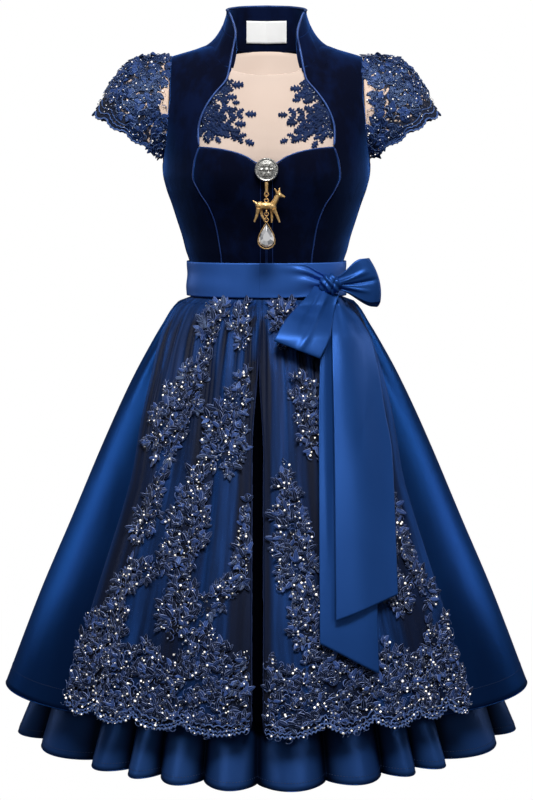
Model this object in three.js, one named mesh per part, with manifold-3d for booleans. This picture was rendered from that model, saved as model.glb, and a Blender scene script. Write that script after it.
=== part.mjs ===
// A festive dirndl in midnight blue, held in the shape it has when it is worn: a velvet bodice with a
// stand collar and a keyhole neckline over a skin-coloured net yoke, lace cap sleeves, a satin skirt with
// a lace apron, a sash tied in a bow, and an underskirt that ends in a ruffle. A silver button, a gilded
// fawn and a crystal drop hang on the front.
//
// Units are millimetres, +Z is up, -Y is the front and +X is the side of the bow. The origin is midway
// between the two shoulder points. Every piece of cloth is a closed wall, made by moving the points of one
// surface out and in. On each surface u runs to the right and v runs up, as seen from outside.

import * as THREE from "three";
import { mergeVertices } from "three/addons/utils/BufferGeometryUtils.js";
import Module from "manifold-3d";

const wasm = await Module();
wasm.setup();

// ---- Driving dimensions ----

const SEAM_GAP = 1.3; // left open between two pieces that meet
const VELVET = 2.4; // thickness of each cloth
const SATIN = 1.4;
const NET = 1.2;
const RIBBON = 1.4;

const SHOULDER = { x: 151, z: 0 }; // outer end of the shoulder seam
const NECK = { x: 83, z: 20 }; // inner end of the shoulder seam
const SEAM_Y = 4; // depth at which the side and shoulder seams lie
const SHOULDER_ROUNDING = 70; // height over which the front turns into the shoulder
const UNDERARM_Z = -160;
const WAIST_SEAM_Z = -353;
const SASH_TOP_Z = -321;
const SASH_BOTTOM_Z = -375;
const SKIRT_HEM_Z = -1008;
const APRON_HEM_Z = -1004;
const RUFFLE_SEAM_Z = -975;
const RUFFLE_HEM_Z = -1081;

// ---- Small helpers ----

const { PI, abs, atan2, cos, exp, max, min, sin, sqrt } = Math;
const degrees = (angle) => (angle * PI) / 180;
const mix = (a, b, t) => a + (b - a) * t;
const clamp01 = (t) => min(1, max(0, t));
const ease = (t) => clamp01(t) ** 2 * (3 - 2 * clamp01(t));
const bell = (distance, width) => exp(-((distance / width) ** 2));
const vec = (x, y, z) => new THREE.Vector3(x, y, z);
const mirrored = (point) => vec(-point.x, point.y, point.z);

// Reads one column of a table whose rows are sorted by another column, on a smooth curve that never
// swings beyond the rows.
function read(table, by, column, at) {
  const rising = table[table.length - 1][by] > table[0][by];
  const rows = rising ? table : [...table].reverse();
  const last = rows.length - 1;
  if (at <= rows[0][by]) return rows[0][column];
  if (at >= rows[last][by]) return rows[last][column];
  const k = rows.findIndex((row) => row[by] > at) - 1;
  const step = (i) => (rows[i + 1][column] - rows[i][column]) / (rows[i + 1][by] - rows[i][by]);
  const slope = (i) => {
    const [before, after] = [step(max(0, i - 1)), step(min(last - 1, i))];
    return before * after <= 0 ? 0 : (2 * before * after) / (before + after);
  };
  const [p, q] = [rows[k], rows[k + 1]];
  const span = q[by] - p[by];
  const t = (at - p[by]) / span;
  const rise = q[column] - p[column];
  const bulge = mix(slope(k) * span - rise, rise - slope(k + 1) * span, t);
  return p[column] + rise * t + t * (1 - t) * bulge;
}

// A point on the line through a few points, t from 0 to 1 along its length.
function along(points, t) {
  const lengths = [0];
  for (let i = 1; i < points.length; i++) {
    lengths.push(lengths[i - 1] + points[i].distanceTo(points[i - 1]));
  }
  const rows = points.map((p, i) => ({ s: lengths[i] / lengths.at(-1), x: p.x, y: p.y, z: p.z }));
  return vec(...["x", "y", "z"].map((axis) => read(rows, "s", axis, t)));
}

// ---- Walls ----

// Stitches two grids of points, outer[row][column] and inner[row][column], into one closed mesh.
function stitch(outer, inner, closed) {
  const rows = outer.length;
  const columns = outer[0].length;
  const positions = [...outer.flat(), ...inner.flat()].flatMap((p) => [p.x, p.y, p.z]);
  const at = (side, r, c) => side * rows * columns + r * columns + (c % columns);
  const faces = [];
  const quad = (a, b, c, d) => faces.push(a, b, c, a, c, d);
  const lastColumn = closed ? columns : columns - 1;
  for (let r = 0; r < rows - 1; r++) {
    for (let c = 0; c < lastColumn; c++) {
      quad(at(0, r, c), at(0, r, c + 1), at(0, r + 1, c + 1), at(0, r + 1, c));
      quad(at(1, r, c), at(1, r + 1, c), at(1, r + 1, c + 1), at(1, r, c + 1));
    }
    if (!closed) {
      quad(at(0, r, 0), at(0, r + 1, 0), at(1, r + 1, 0), at(1, r, 0));
      quad(at(0, r, lastColumn), at(1, r, lastColumn), at(1, r + 1, lastColumn), at(0, r + 1, lastColumn));
    }
  }
  for (let c = 0; c < lastColumn; c++) {
    quad(at(0, 0, c), at(1, 0, c), at(1, 0, c + 1), at(0, 0, c + 1));
    quad(at(0, rows - 1, c), at(0, rows - 1, c + 1), at(1, rows - 1, c + 1), at(1, rows - 1, c));
  }
  return new THREE.BufferGeometry()
    .setAttribute("position", new THREE.Float32BufferAttribute(positions, 3))
    .setIndex(faces);
}

// The outward normal of a surface, from points a little way off.
function normalAt(surface, u, v, closed) {
  const step = 2e-3;
  const inside = (t) => min(1, max(0, t));
  const [u0, u1] = closed ? [u - step, u + step] : [inside(u - step), inside(u + step)];
  const across = surface(u1, v).sub(surface(u0, v));
  const up = surface(u, inside(v + step)).sub(surface(u, inside(v - step)));
  return across.cross(up).normalize();
}

// A cloth wall on surface(u, v), with an optional raised outer side. Its rows lie at even heights, or at
// the given levels of v.
function wall(surface, { columns, rows, thickness, closed = false, raise = () => 0, levels }) {
  const outer = [];
  const inner = [];
  const columnCount = closed ? columns : columns + 1;
  const heights = levels ?? Array.from({ length: rows + 1 }, (_, r) => r / rows);
  for (let r = 0; r < heights.length; r++) {
    const v = heights[r];
    outer.push([]);
    inner.push([]);
    for (let c = 0; c < columnCount; c++) {
      const u = c / columns;
      const normal = normalAt(surface, u, v, closed);
      const point = surface(u, v);
      outer[r].push(point.clone().addScaledVector(normal, thickness / 2 + raise(u, v)));
      inner[r].push(point.clone().addScaledVector(normal, -thickness / 2));
    }
  }
  return stitch(outer, inner, closed);
}

// The same wall on the other side of the body.
function mirrorGeometry(geometry) {
  const made = geometry.clone().applyMatrix4(new THREE.Matrix4().makeScale(-1, 1, 1));
  const index = made.index.array;
  for (let i = 0; i < index.length; i += 3) [index[i + 1], index[i + 2]] = [index[i + 2], index[i + 1]];
  return made;
}

// A round or flat strand along a curve.
function strand(points, radius, steps, sides = 4) {
  const section = new THREE.Shape();
  for (let i = 0; i < sides; i++) {
    const angle = (2 * PI * i) / sides;
    section[i ? "lineTo" : "moveTo"](radius * cos(angle), radius * sin(angle));
  }
  section.closePath();
  const made = new THREE.ExtrudeGeometry(section, { steps, extrudePath: new THREE.CatmullRomCurve3(points) });
  return geometryOf(solidOf(made));
}

// ---- Joined solids ----

function solidOf(geometry) {
  const bare = geometry.clone();
  bare.deleteAttribute("normal");
  bare.deleteAttribute("uv");
  const merged = mergeVertices(bare, 1e-3);
  const mesh = new wasm.Mesh({
    numProp: 3,
    vertProperties: new Float32Array(merged.attributes.position.array),
    triVerts: new Uint32Array(merged.index.array),
  });
  return new wasm.Manifold(mesh);
}

function geometryOf(solid) {
  const mesh = solid.getMesh();
  return new THREE.BufferGeometry()
    .setAttribute("position", new THREE.BufferAttribute(new Float32Array(mesh.vertProperties), 3))
    .setIndex(new THREE.BufferAttribute(new Uint32Array(mesh.triVerts), 1));
}

const joined = (...geometries) => geometryOf(geometries.map(solidOf).reduce((a, b) => a.add(b)));

// ---- The body that the bodice follows ----

// Half width, depth to the front and depth to the back of the bodice at each height.
const TORSO = [
  { z: 30, width: 172.8, front: 52, back: 76 },
  { z: 0, width: 172.8, front: 60, back: 84 },
  { z: -40, width: 172.8, front: 77, back: 98 },
  { z: -80, width: 172.3, front: 98, back: 107 },
  { z: -110, width: 168.8, front: 112, back: 109 },
  { z: -130, width: 166.2, front: 119, back: 109 },
  { z: -150, width: 164.2, front: 124, back: 108 },
  { z: -162, width: 163.5, front: 125, back: 107 },
  { z: -180, width: 163.2, front: 125, back: 105 },
  { z: -205, width: 158, front: 121, back: 101 },
  { z: -231, width: 149, front: 114, back: 96 },
  { z: -256, width: 141, front: 106, back: 91 },
  { z: -281, width: 133, front: 98, back: 86 },
  { z: -307, width: 126.3, front: 92, back: 81 },
  { z: -315, width: 123.4, front: 89.5, back: 79 },
  { z: -323, width: 121.4, front: 88, back: 77.5 },
  { z: -356, width: 120.5, front: 87, back: 77 },
];
const TORSO_ROUNDNESS = 2.3; // exponent of the sections, where 2 is an ellipse
const BUST = { x: 72, z: -184, depth: 12, width: 42, height: 46 };

const shoulderHeight = (x) => mix(NECK.z, SHOULDER.z, (abs(x) - NECK.x) / (SHOULDER.x - NECK.x));

// How far the shoulder's curve lets the body stand forward, from 0 on the shoulder seam to 1.
function shoulderShare(x, z) {
  const below = clamp01((shoulderHeight(x) - z) / SHOULDER_ROUNDING);
  return sqrt(1 - (1 - below) ** 2);
}

const section = (z, side) => ({ width: read(TORSO, "z", "width", z), depth: read(TORSO, "z", side, z) });

// The angle at which a body point lies, from the middle of the front or back towards the side.
function bodyAngle(x, z, side) {
  const { width, depth } = section(z, side);
  const reach = depth * max(0, 1 - (abs(x) / width) ** TORSO_ROUNDNESS) ** (1 / TORSO_ROUNDNESS);
  return atan2(abs(x), reach);
}

// A point of the bodice on the +X side, at an angle and a height; outset moves it off the body.
function bodyPoint(angle, z, side, outset = 0) {
  const { width, depth } = section(z, side);
  const p = TORSO_ROUNDNESS;
  const [s, c] = [abs(sin(angle)), max(0, cos(angle))];
  const radius = outset + ((s / width) ** p + (c / depth) ** p) ** (-1 / p);
  const x = radius * s;
  const bust = BUST.depth * bell(x - BUST.x, BUST.width) * bell(z - BUST.z, BUST.height) * ease(c * 4);
  const reach = radius * c * shoulderShare(x, z) + (side === "front" ? bust : 0) + SEAM_GAP / 2;
  return vec(x, SEAM_Y + (side === "front" ? -reach : reach), z);
}

const bodyAt = (x, z, side, outset = 0) => bodyPoint(bodyAngle(x, z, side), z, side, outset);

// A patch of the body between four edges, each a list of { x, z } seen from the front. Its left and
// right edges run up and its bottom and top edges run outwards.
function bodyPatch(edges, side, outset = 0) {
  const flat = (points) => points.map(({ x, z }) => vec(bodyAngle(x, z, side) * 100, 0, z));
  const [left, right, bottom, top] = [edges.inner, edges.outer, edges.bottom, edges.top].map(flat);
  const corner = { a: bottom[0], b: bottom.at(-1), c: top[0], d: top.at(-1) };
  return (u, v) => {
    const point = along(left, v).multiplyScalar(1 - u).addScaledVector(along(right, v), u);
    point.addScaledVector(along(bottom, u), 1 - v).addScaledVector(along(top, u), v);
    point.addScaledVector(corner.a, -(1 - u) * (1 - v)).addScaledVector(corner.b, -u * (1 - v));
    point.addScaledVector(corner.c, -(1 - u) * v).addScaledVector(corner.d, -u * v);
    return bodyPoint(point.x / 100, point.z, side, outset);
  };
}

// ---- Seam and edge lines of the bodice, on the +X side ----

const at = (x, z) => ({ x, z });
const moved = (points, dx, dz = 0) => points.map((p) => at(p.x + dx, p.z + dz));
const PRINCESS_SEAM = [
  at(69.5, -352.5), at(69.8, -317), at(73.2, -290), at(78, -263), at(88, -235), at(104, -209),
  at(113, -187), at(111, -167), at(104, -143.5),
];
const KEYHOLE_EDGE = [
  at(104, -143.5), at(106, -130), at(106, -116), at(103, -100), at(94.5, -80), at(81, -60), at(64, -40),
  at(54, -21),
];
const SWEETHEART_EDGE = [
  at(0.3, -174.5), at(17, -168), at(30.5, -159.5), at(50.5, -152), at(75, -147), at(103.4, -144.1),
];
const COLLAR_SEAM_FRONT = [at(54, -21), at(67, -14), at(78, 1), at(NECK.x, NECK.z)];
const COLLAR_SEAM_BACK = [at(0, 11), at(30, 11.5), at(62, 15), at(NECK.x, NECK.z)];
const ARMHOLE = [
  { z: 0, x: SHOULDER.x },
  { z: -40, x: 150.6 },
  { z: -80, x: 151.6 },
  { z: -110, x: 153.8 },
  { z: -130, x: 156.4 },
  { z: -150, x: 160.2 },
  { z: UNDERARM_Z, x: 163.4 },
];
const armholeLine = ARMHOLE.map(({ x, z }) => at(x, z)).reverse();
const SIDE_LEVELS = [-352.5, -336, -323, -315, -307, -281, -256, -231, -205, -180];
const sideLine = SIDE_LEVELS.map((z) => at(read(TORSO, "z", "width", z), z));

// ---- Bodice panels ----

// Heights of the rows of points on a panel. They lie closer together at the waist and over the shoulder.
const PANEL_LEVELS = [0, 0.085, 0.12, 0.2, 0.29, 0.38, 0.47, 0.56, 0.66, 0.76, 0.85, 0.92, 0.97, 1];
const FRONT_LEVELS = [0, 0.15, 0.22, 0.35, 0.48, 0.58, 0.67, 0.76, 0.85, 0.93, 1];
const PANEL_SETBACK = SEAM_GAP * 0.7; // of each panel from the princess seam, which runs at a slant

const centreFront = bodyPatch(
  {
    inner: [at(0.3, -352.5), at(0.3, -270), at(0.3, -174.5)],
    outer: moved(PRINCESS_SEAM, -PANEL_SETBACK),
    bottom: [at(0.3, -352.5), at(35, -352.5), at(68.8, -352.5)],
    top: SWEETHEART_EDGE,
  },
  "front",
);

const sideFront = bodyPatch(
  {
    inner: [...moved(PRINCESS_SEAM, PANEL_SETBACK), ...KEYHOLE_EDGE.slice(1)],
    outer: [...sideLine, ...armholeLine],
    bottom: [at(69.2, -352.5), at(90, -352.5), at(110, -352.5), sideLine[0]],
    top: [...COLLAR_SEAM_FRONT, at(118, shoulderHeight(118)), at(SHOULDER.x, SHOULDER.z)],
  },
  "front",
);

const halfBack = bodyPatch(
  {
    inner: [at(0, -352.5), at(0, -200), at(0, -60), at(0, 11)],
    outer: [...sideLine, ...armholeLine],
    bottom: [at(0, -352.5), at(50, -352.5), at(95, -352.5), sideLine[0]],
    top: [...COLLAR_SEAM_BACK, at(118, shoulderHeight(118)), at(SHOULDER.x, SHOULDER.z)],
  },
  "back",
);

// The whole back, with u running from the +X side round to the -X side.
const wholeBack = (u, v) => (u < 0.5 ? halfBack(1 - 2 * u, v) : mirrored(halfBack(2 * u - 1, v)));

// ---- Yoke of net, and the facing of the same net inside the back neck ----

const YOKE_INSET = -(VELVET / 2 + NET / 2 + 2); // keeps the net inside the velvet
const YOKE_TUCK = 7; // how far the net runs on behind the velvet's edge
const YOKE_TOP = [at(0, -31), at(20, -29.5), at(42, -25), at(58, -18)];

const halfYoke = bodyPatch(
  {
    inner: [at(0, -181.5), at(0, -110), at(0, -31)],
    outer: moved(KEYHOLE_EDGE, YOKE_TUCK),
    bottom: [at(0, -181.5), at(18, -175), at(32.3, -166.5), at(53.5, -159), at(79.5, -154), at(109.6, -151.1)],
    top: YOKE_TOP,
  },
  "front",
  YOKE_INSET,
);
const wholeYoke = (u, v) => (u < 0.5 ? mirrored(halfYoke(1 - 2 * u, v)) : halfYoke(2 * u - 1, v));

const backFacing = (u, v) => {
  const x = mix(60, -60, u);
  const top = 7 - 15 * (x / 60) ** 2;
  const point = bodyAt(abs(x), mix(-62, top, v), "back", YOKE_INSET - 3);
  return x > 0 ? point : mirrored(point);
};

// ---- Stand collar ----

const COLLAR_INSET = 3.6; // the collar stands just inside the neck edge of the panels
const COLLAR_LIFT = 2.2;
const COLLAR_TOP = [
  vec(59, -24, 69), vec(62.5, -4, 71.5), vec(60.5, 22, 75.5), vec(38, 58, 81.5), vec(0, 70, 83.5),
];
const collarSeamLine = [
  ...COLLAR_SEAM_FRONT.map(({ x, z }) => bodyAt(x, z, "front")),
  ...[...COLLAR_SEAM_BACK].reverse().slice(1).map(({ x, z }) => bodyAt(x, z, "back")),
].map((p) => {
  const inwards = vec(-p.x, SEAM_Y - p.y, 0).normalize();
  return p.addScaledVector(inwards, COLLAR_INSET).add(vec(0, 0, COLLAR_LIFT));
});

// The collar from its front edge on the +X side (u 0) round the back to the other front edge (u 1).
function collarSurface(u, v) {
  const share = u < 0.5 ? 2 * u : 2 - 2 * u;
  const foot = along(collarSeamLine, share);
  const top = along(COLLAR_TOP, share);
  const waisting = 17 * bell(share, 0.22); // the front edges lean in towards the neck at mid height
  const middle = foot.clone().add(top).multiplyScalar(0.5).add(vec(-waisting, 0, 0));
  const point = foot.multiplyScalar((1 - v) ** 2).addScaledVector(middle, 2 * v * (1 - v));
  point.addScaledVector(top, v * v);
  return u < 0.5 ? point : mirrored(point);
}

// ---- Piping along the neckline ----

const PIPING_RADIUS = 1.7;
const PIPING_OFF = PIPING_RADIUS + 1.2; // from the cloth's cut edge to the middle of the piping

const keyholePiping = moved([at(104.6, -138.5), ...KEYHOLE_EDGE.slice(1, -1)], -PIPING_OFF)
  .map(({ x, z }) => bodyAt(x, z, "front"));
const collarEdgePiping = [0.03, 0.2, 0.4, 0.6, 0.8, 0.985].map((v) => {
  const edge = collarSurface(0, v);
  const inwards = edge.clone().sub(collarSurface(0.04, v)).normalize();
  return edge.addScaledVector(inwards, PIPING_OFF);
});
const collarTopPiping = Array.from({ length: 17 }, (_, i) => {
  const u = mix(0.012, 0.988, i / 16);
  const edge = collarSurface(u, 1);
  const up = edge.clone().sub(collarSurface(u, 0.95)).normalize();
  return edge.addScaledVector(up, PIPING_OFF);
});
const sweetheartPiping = moved(SWEETHEART_EDGE.slice(1, -1), -1.4, PIPING_OFF)
  .map(({ x, z }) => bodyAt(x, z, "front"));

// ---- Cap sleeves ----

const SLEEVE_REACH = degrees(152); // the sleeve's ends lie this far round from the shoulder point
const CUFF = {
  centre: vec(218, 2, -127), long: 67, deep: 62, along: vec(0.85, 0, 0.527), out: vec(0.527, 0, -0.85),
};
const SLEEVE_SCALLOPS = 9;
const SLEEVE_SCALLOP_DEPTH = 8;
const SLEEVE_OFF = VELVET / 2 + NET / 2 + 0.6;

function armholePoint(turn) {
  const z = mix(UNDERARM_Z, SHOULDER.z, (1 + cos(turn)) / 2);
  const point = bodyAt(read(ARMHOLE, "z", "x", z), z, turn > 0 ? "front" : "back");
  return point.add(vec(SLEEVE_OFF, 0, 0));
}

// The +X sleeve: u runs from the back of the armhole over the shoulder to the front, and v from the cuff
// to the armhole.
function sleeveSurface(u, v) {
  const turn = mix(SLEEVE_REACH, -SLEEVE_REACH, u);
  const head = armholePoint(turn);
  const scallop = SLEEVE_SCALLOP_DEPTH * (abs(sin((u * SLEEVE_SCALLOPS) * PI)) - 1) * sin(PI * u) ** 0.5;
  const hem = CUFF.centre.clone().addScaledVector(CUFF.along, CUFF.long * cos(turn));
  hem.add(vec(0, -CUFF.deep * sin(turn), 0)).addScaledVector(CUFF.out, scallop);
  const reach = 0.46 * head.distanceTo(hem);
  // The top of the sleeve is puffed a little.
  const top = max(0, cos(turn));
  const first = head.clone().add(vec(reach, 0, mix(-0.06, 0.1, top) * reach));
  const second = hem.clone().addScaledVector(CUFF.out, -reach * mix(1, 1.25, top));
  second.add(vec(0, 0, 0.06 * reach * top));
  const t = 1 - v;
  const point = head.multiplyScalar((1 - t) ** 3).addScaledVector(first, 3 * t * (1 - t) ** 2);
  return point.addScaledVector(second, 3 * t * t * (1 - t)).addScaledVector(hem, t ** 3);
}

// Raised lace: leaves that lie slantwise over the net, in rows that swap direction.
const leafRelief = (across, up) => max(0, sin(across * PI) * sin(up * PI));
const sleeveLace = (u, v) => 0.5 + 1.3 * leafRelief(u * 14 + v * 3, v * 4 + u * 2);

// ---- Skirts ----

// Half width, depth to the front and back, and roundness of the satin skirt at each height.
const SKIRT = [
  { z: -353, width: 117.5, front: 84, back: 76, round: 2.3 },
  { z: -377, width: 118.5, front: 85.5, back: 77.5, round: 2.3 },
  { z: -385, width: 139, front: 102.5, back: 97, round: 2.25 },
  { z: -422, width: 164.8, front: 127, back: 122, round: 2.15 },
  { z: -461, width: 188, front: 148, back: 146, round: 2.1 },
  { z: -500, width: 210, front: 167, back: 167, round: 2.05 },
  { z: -539, width: 230, front: 184, back: 186, round: 2.0 },
  { z: -617, width: 266, front: 214, back: 218, round: 1.92 },
  { z: -735, width: 317, front: 257, back: 263, round: 1.8 },
  { z: -854, width: 369, front: 298, back: 306, round: 1.72 },
  { z: -1008, width: 429, front: 340, back: 350, round: 1.65 },
];
// Folds of the skirt: where they lie, how wide they are, in degrees round from the front towards +X,
// and how far their ridge stands out at the hem. Each is answered by a trough beside it.
const SKIRT_FOLDS = [
  { at: 92, width: 9, depth: -3 },
  { at: 106, width: 9, depth: 6 },
  { at: 121, width: 7, depth: -9 },
  { at: 135, width: 9, depth: 12 },
  { at: 150, width: 7, depth: -9 },
  { at: 164, width: 8, depth: 10 },
  { at: 178, width: 7, depth: -10 },
  { at: 192, width: 9, depth: 12 },
  { at: 207, width: 7, depth: -10 },
  { at: 222, width: 9, depth: 11 },
  { at: 238, width: 7, depth: -8 },
  { at: 253, width: 9, depth: 6 },
  { at: 268, width: 9, depth: -3 },
];

const turnBetween = (a, b) => abs(((a - b + 540) % 360) - 180);
const foldsAt = (angle) =>
  SKIRT_FOLDS.reduce((sum, fold) => sum + fold.depth * bell(turnBetween(angle, fold.at), fold.width), 0);
// How far the folds have opened, from 0 at the waist to 1 near the hem.
const foldShare = (share) => ease(share * 1.15);

// A point on a ring of one of the skirts: angle in degrees from the front towards +X.
function ringPoint(row, angle, z, outset = 0) {
  const turn = degrees(angle);
  const depth = cos(turn) > 0 ? row.front : row.back;
  const p = row.round;
  const radius = (abs(sin(turn) / row.width) ** p + abs(cos(turn) / depth) ** p) ** (-1 / p) + outset;
  return vec(radius * sin(turn), SEAM_Y - radius * cos(turn), z);
}

const tableRow = (table, z) =>
  Object.fromEntries(["width", "front", "back", "round"].map((key) => [key, read(table, "z", key, z)]));

// The satin skirt, from the middle of the front round by +X, with its gathers near the waist.
function skirtSurface(u, v) {
  const [angle, share] = [360 * u, 1 - v];
  const lift = 26 * bell(turnBetween(angle, 0), 45); // the hem rises a little in front
  const z = mix(WAIST_SEAM_Z - SEAM_GAP, SKIRT_HEM_Z + lift, share);
  const gather = 1.6 * sin(degrees(angle * 24)) * bell(share - 0.16, 0.1);
  return ringPoint(tableRow(SKIRT, z), angle, z, foldsAt(angle) * foldShare(share) + gather);
}

// Heights of the rows of points on the skirt and apron. They gather where the cloth springs from the waist.
const SKIRT_ROWS = [-377, -385, -422, -500, -617, -790];
const APRON_ROWS = [-377, -385, -422, -480, -540, -600, -660, -720, -790, -850, -915];
const levelsFor = (top, bottom, heights) =>
  [...heights.map((z) => (z - bottom) / (top - bottom)), 1, 0].sort((a, b) => a - b);

const UNDERSKIRT = [
  { z: -358, width: 109, front: 76, back: 68, round: 2.3 },
  { z: -379, width: 110, front: 77, back: 69, round: 2.3 },
  { z: -422, width: 137, front: 101, back: 97, round: 2.2 },
  { z: -620, width: 236, front: 188, back: 192, round: 1.95 },
  { z: RUFFLE_SEAM_Z, width: 355, front: 292, back: 297, round: 1.7 },
];
const RUFFLE = [
  { z: RUFFLE_SEAM_Z - SEAM_GAP, width: 356, front: 293, back: 298, round: 1.7 },
  { z: -1034, width: 379.5, front: 317, back: 322, round: 1.67 },
  { z: RUFFLE_HEM_Z, width: 396, front: 337, back: 340, round: 1.65 },
];

const underskirtSurface = (u, v) => {
  const z = mix(RUFFLE_SEAM_Z, UNDERSKIRT[0].z, v);
  return ringPoint(tableRow(UNDERSKIRT, z), 360 * u, z);
};

const RUFFLE_WAVES = 26;
const RUFFLE_WAVE_DEPTH = 11;
function ruffleSurface(u, v) {
  const z = mix(RUFFLE_HEM_Z, RUFFLE_SEAM_Z - SEAM_GAP, v);
  const wander = 0.35 * sin(degrees(360 * u * 5)) + 0.2 * sin(degrees(360 * u * 11)); // uneven spacing
  const wave = RUFFLE_WAVE_DEPTH * sin(2 * PI * (RUFFLE_WAVES * u + wander)) * (1 - 0.75 * v);
  return ringPoint(tableRow(RUFFLE, z), 360 * u, z, wave);
}

// ---- Apron ----

const APRON_TOP_Z = -366;
// How far round from the middle each side edge of the apron lies, in degrees, down its length.
const APRON_SPREAD = [
  { share: 0, half: 76 },
  { share: 0.04, half: 74 },
  { share: 0.2, half: 61 },
  { share: 0.31, half: 57 },
  { share: 0.47, half: 53 },
  { share: 0.64, half: 54 },
  { share: 1, half: 56.5 },
];
const APRON_GATHERS = 15;
const APRON_TOP_OFF = 3; // clearance of the apron's troughs from the skirt, under the sash
const APRON_OFF = 5; // and below it
// The lace border's large scallops: where each notch between two lies, in shares of the width.
const APRON_NOTCHES = [0, 0.085, 0.19, 0.31, 0.5, 0.63, 0.745, 0.86, 0.94, 1];
const APRON_SCALLOP_DEPTH = 15;
// Sprays of lace leaves on the apron: the middle of each in shares of width and height (1 is the top),
// and its half length, half width and lean in millimetres and degrees.
const APRON_SPRAYS = [
  { u: 0.2, v: 0.93, long: 42, wide: 24, lean: 4 },
  { u: 0.39, v: 0.93, long: 44, wide: 24, lean: 0 },
  { u: 0.62, v: 0.94, long: 40, wide: 24, lean: -4 },
  { u: 0.14, v: 0.71, long: 82, wide: 38, lean: -16 },
  { u: 0.41, v: 0.63, long: 78, wide: 40, lean: -24 },
  { u: 0.6, v: 0.65, long: 66, wide: 34, lean: 20 },
  { u: 0.86, v: 0.66, long: 78, wide: 36, lean: 16 },
  { u: 0.25, v: 0.41, long: 84, wide: 42, lean: -8 },
  { u: 0.61, v: 0.42, long: 88, wide: 44, lean: 10 },
  { u: 0.06, v: 0.4, long: 66, wide: 28, lean: -14 },
  { u: 0.92, v: 0.4, long: 70, wide: 30, lean: 14 },
];
const LACE_RELIEF = 1.8;

const apronWidthAt = (v) => mix(760, 250, v);
const apronLength = APRON_TOP_Z - APRON_HEM_Z;

// How far the lace stands up from the apron's net.
function apronLace(u, v) {
  const border = ease((0.27 + 0.05 * sin(u * 19) - v) / 0.05);
  const spray = APRON_SPRAYS.reduce((most, s) => {
    const [dx, dz] = [(u - s.u) * apronWidthAt(v), (v - s.v) * apronLength];
    const [c, w] = [cos(degrees(s.lean)), sin(degrees(s.lean))];
    const far = sqrt(((dx * c + dz * w) / s.wide) ** 2 + ((dz * c - dx * w) / s.long) ** 2);
    return max(most, ease((1.15 - far) / 0.35));
  }, 0);
  return LACE_RELIEF * max(border, spray) * (0.65 + 0.35 * sin(u * 90) * sin(v * 60));
}

function apronScallop(u) {
  const k = max(0, APRON_NOTCHES.findIndex((notch) => notch >= u) - 1);
  const share = (u - APRON_NOTCHES[k]) / (APRON_NOTCHES[k + 1] - APRON_NOTCHES[k]);
  return APRON_SCALLOP_DEPTH * (1 - sin(PI * clamp01(share)) ** 0.7);
}

function apronSurface(u, v) {
  const share = 1 - v;
  const angle = (2 * u - 1) * read(APRON_SPREAD, "share", "half", share);
  const hem = APRON_HEM_Z + apronScallop(u) + 4 * abs(2 * u - 1) ** 3;
  const z = mix(hem, APRON_TOP_Z, v);
  const gather = 0.5 + 0.5 * cos(2 * PI * (APRON_GATHERS * u + 0.3 * sin(u * 17)));
  const centrePleat = -0.6 * bell(u - 0.487, 0.012);
  const depth = 11 * ease(share * 5) * mix(1, 0.75, share);
  const out = mix(APRON_TOP_OFF, APRON_OFF, ease(share * 9)) + depth * clamp01(gather + centrePleat);
  const fold = foldsAt((angle + 360) % 360) * foldShare((WAIST_SEAM_Z - z) / (WAIST_SEAM_Z - SKIRT_HEM_Z));
  return ringPoint(tableRow(SKIRT, z), angle, z, out + fold);
}

// ---- Sash ----

const SASH_RING = { width: 126.4, front: 94, back: 85.5, round: 2.3 };
const SASH_FLARE = 1.4; // how much further out the sash's lower edge lies
const sashSurface = (u, v) =>
  ringPoint(SASH_RING, 360 * u, mix(SASH_BOTTOM_Z, SASH_TOP_Z, v), SASH_FLARE * (1 - v));

// ---- Bow: a knot, two loops and two tails ----

const KNOT = { x: 99, y: -85, z: -354, radius: 17 };
const APRON_DEPTH = 21; // how far the apron's ridges stand out from the skirt
const SPRING_Z = SKIRT[2].z; // where the gathered skirt has sprung out from under the sash

// How far in front of the side seams the skirt with its apron reaches.
const coverFront = (x, z) => {
  const row = tableRow(SKIRT, min(z, SPRING_Z));
  const reach = row.front * max(0, 1 - (abs(x) / row.width) ** row.round) ** (1 / row.round);
  return reach + mix(5, APRON_DEPTH, ease((SPRING_Z - z) / 50)) - SEAM_Y;
};

// A loop of ribbon, from the knot along its front ply to the tip (u 0.5) and back along its hind ply.
// The tip is a fold whose middle and half length are given as seen from the front.
function loopSurface({ tip, half, root, bulge, clearance, lift }) {
  const axis = vec(tip.x - KNOT.x, 0, tip.z - KNOT.z);
  const start = vec(KNOT.x, 0, KNOT.z).addScaledVector(axis, (KNOT.radius + 1.5) / axis.length());
  return (u, v) => {
    const turn = 2 * PI * u;
    const reach = (1 - cos(turn)) / 2;
    const spread = mix(root, 1, ease(reach * 1.25)) * (2 * v - 1);
    const point = start.clone().lerp(vec(tip.x, 0, tip.z), reach);
    point.add(vec(half.x, 0, half.z).multiplyScalar(spread));
    const free = KNOT.y + lift * reach;
    const resting = clearance === null ? free : -(coverFront(point.x, point.z) + clearance);
    const crease = 3 * cos(2.5 * PI * (v - 0.5)) * (1 - ease(reach * 1.4));
    const bow = bulge * sin(turn) * mix(0.6, 1, reach) + crease;
    point.y = mix(free, resting, ease(reach * 1.6)) - bow;
    return point;
  };
}

const outerLoop = loopSurface({
  tip: at(171, -348), half: at(-10, 34), root: 0.3, bulge: 12, clearance: null, lift: 16,
});
const lowerLoop = loopSurface({
  tip: at(46, -448), half: at(35, -13.5), root: 0.3, bulge: 9, clearance: 19, lift: -60,
});

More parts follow.
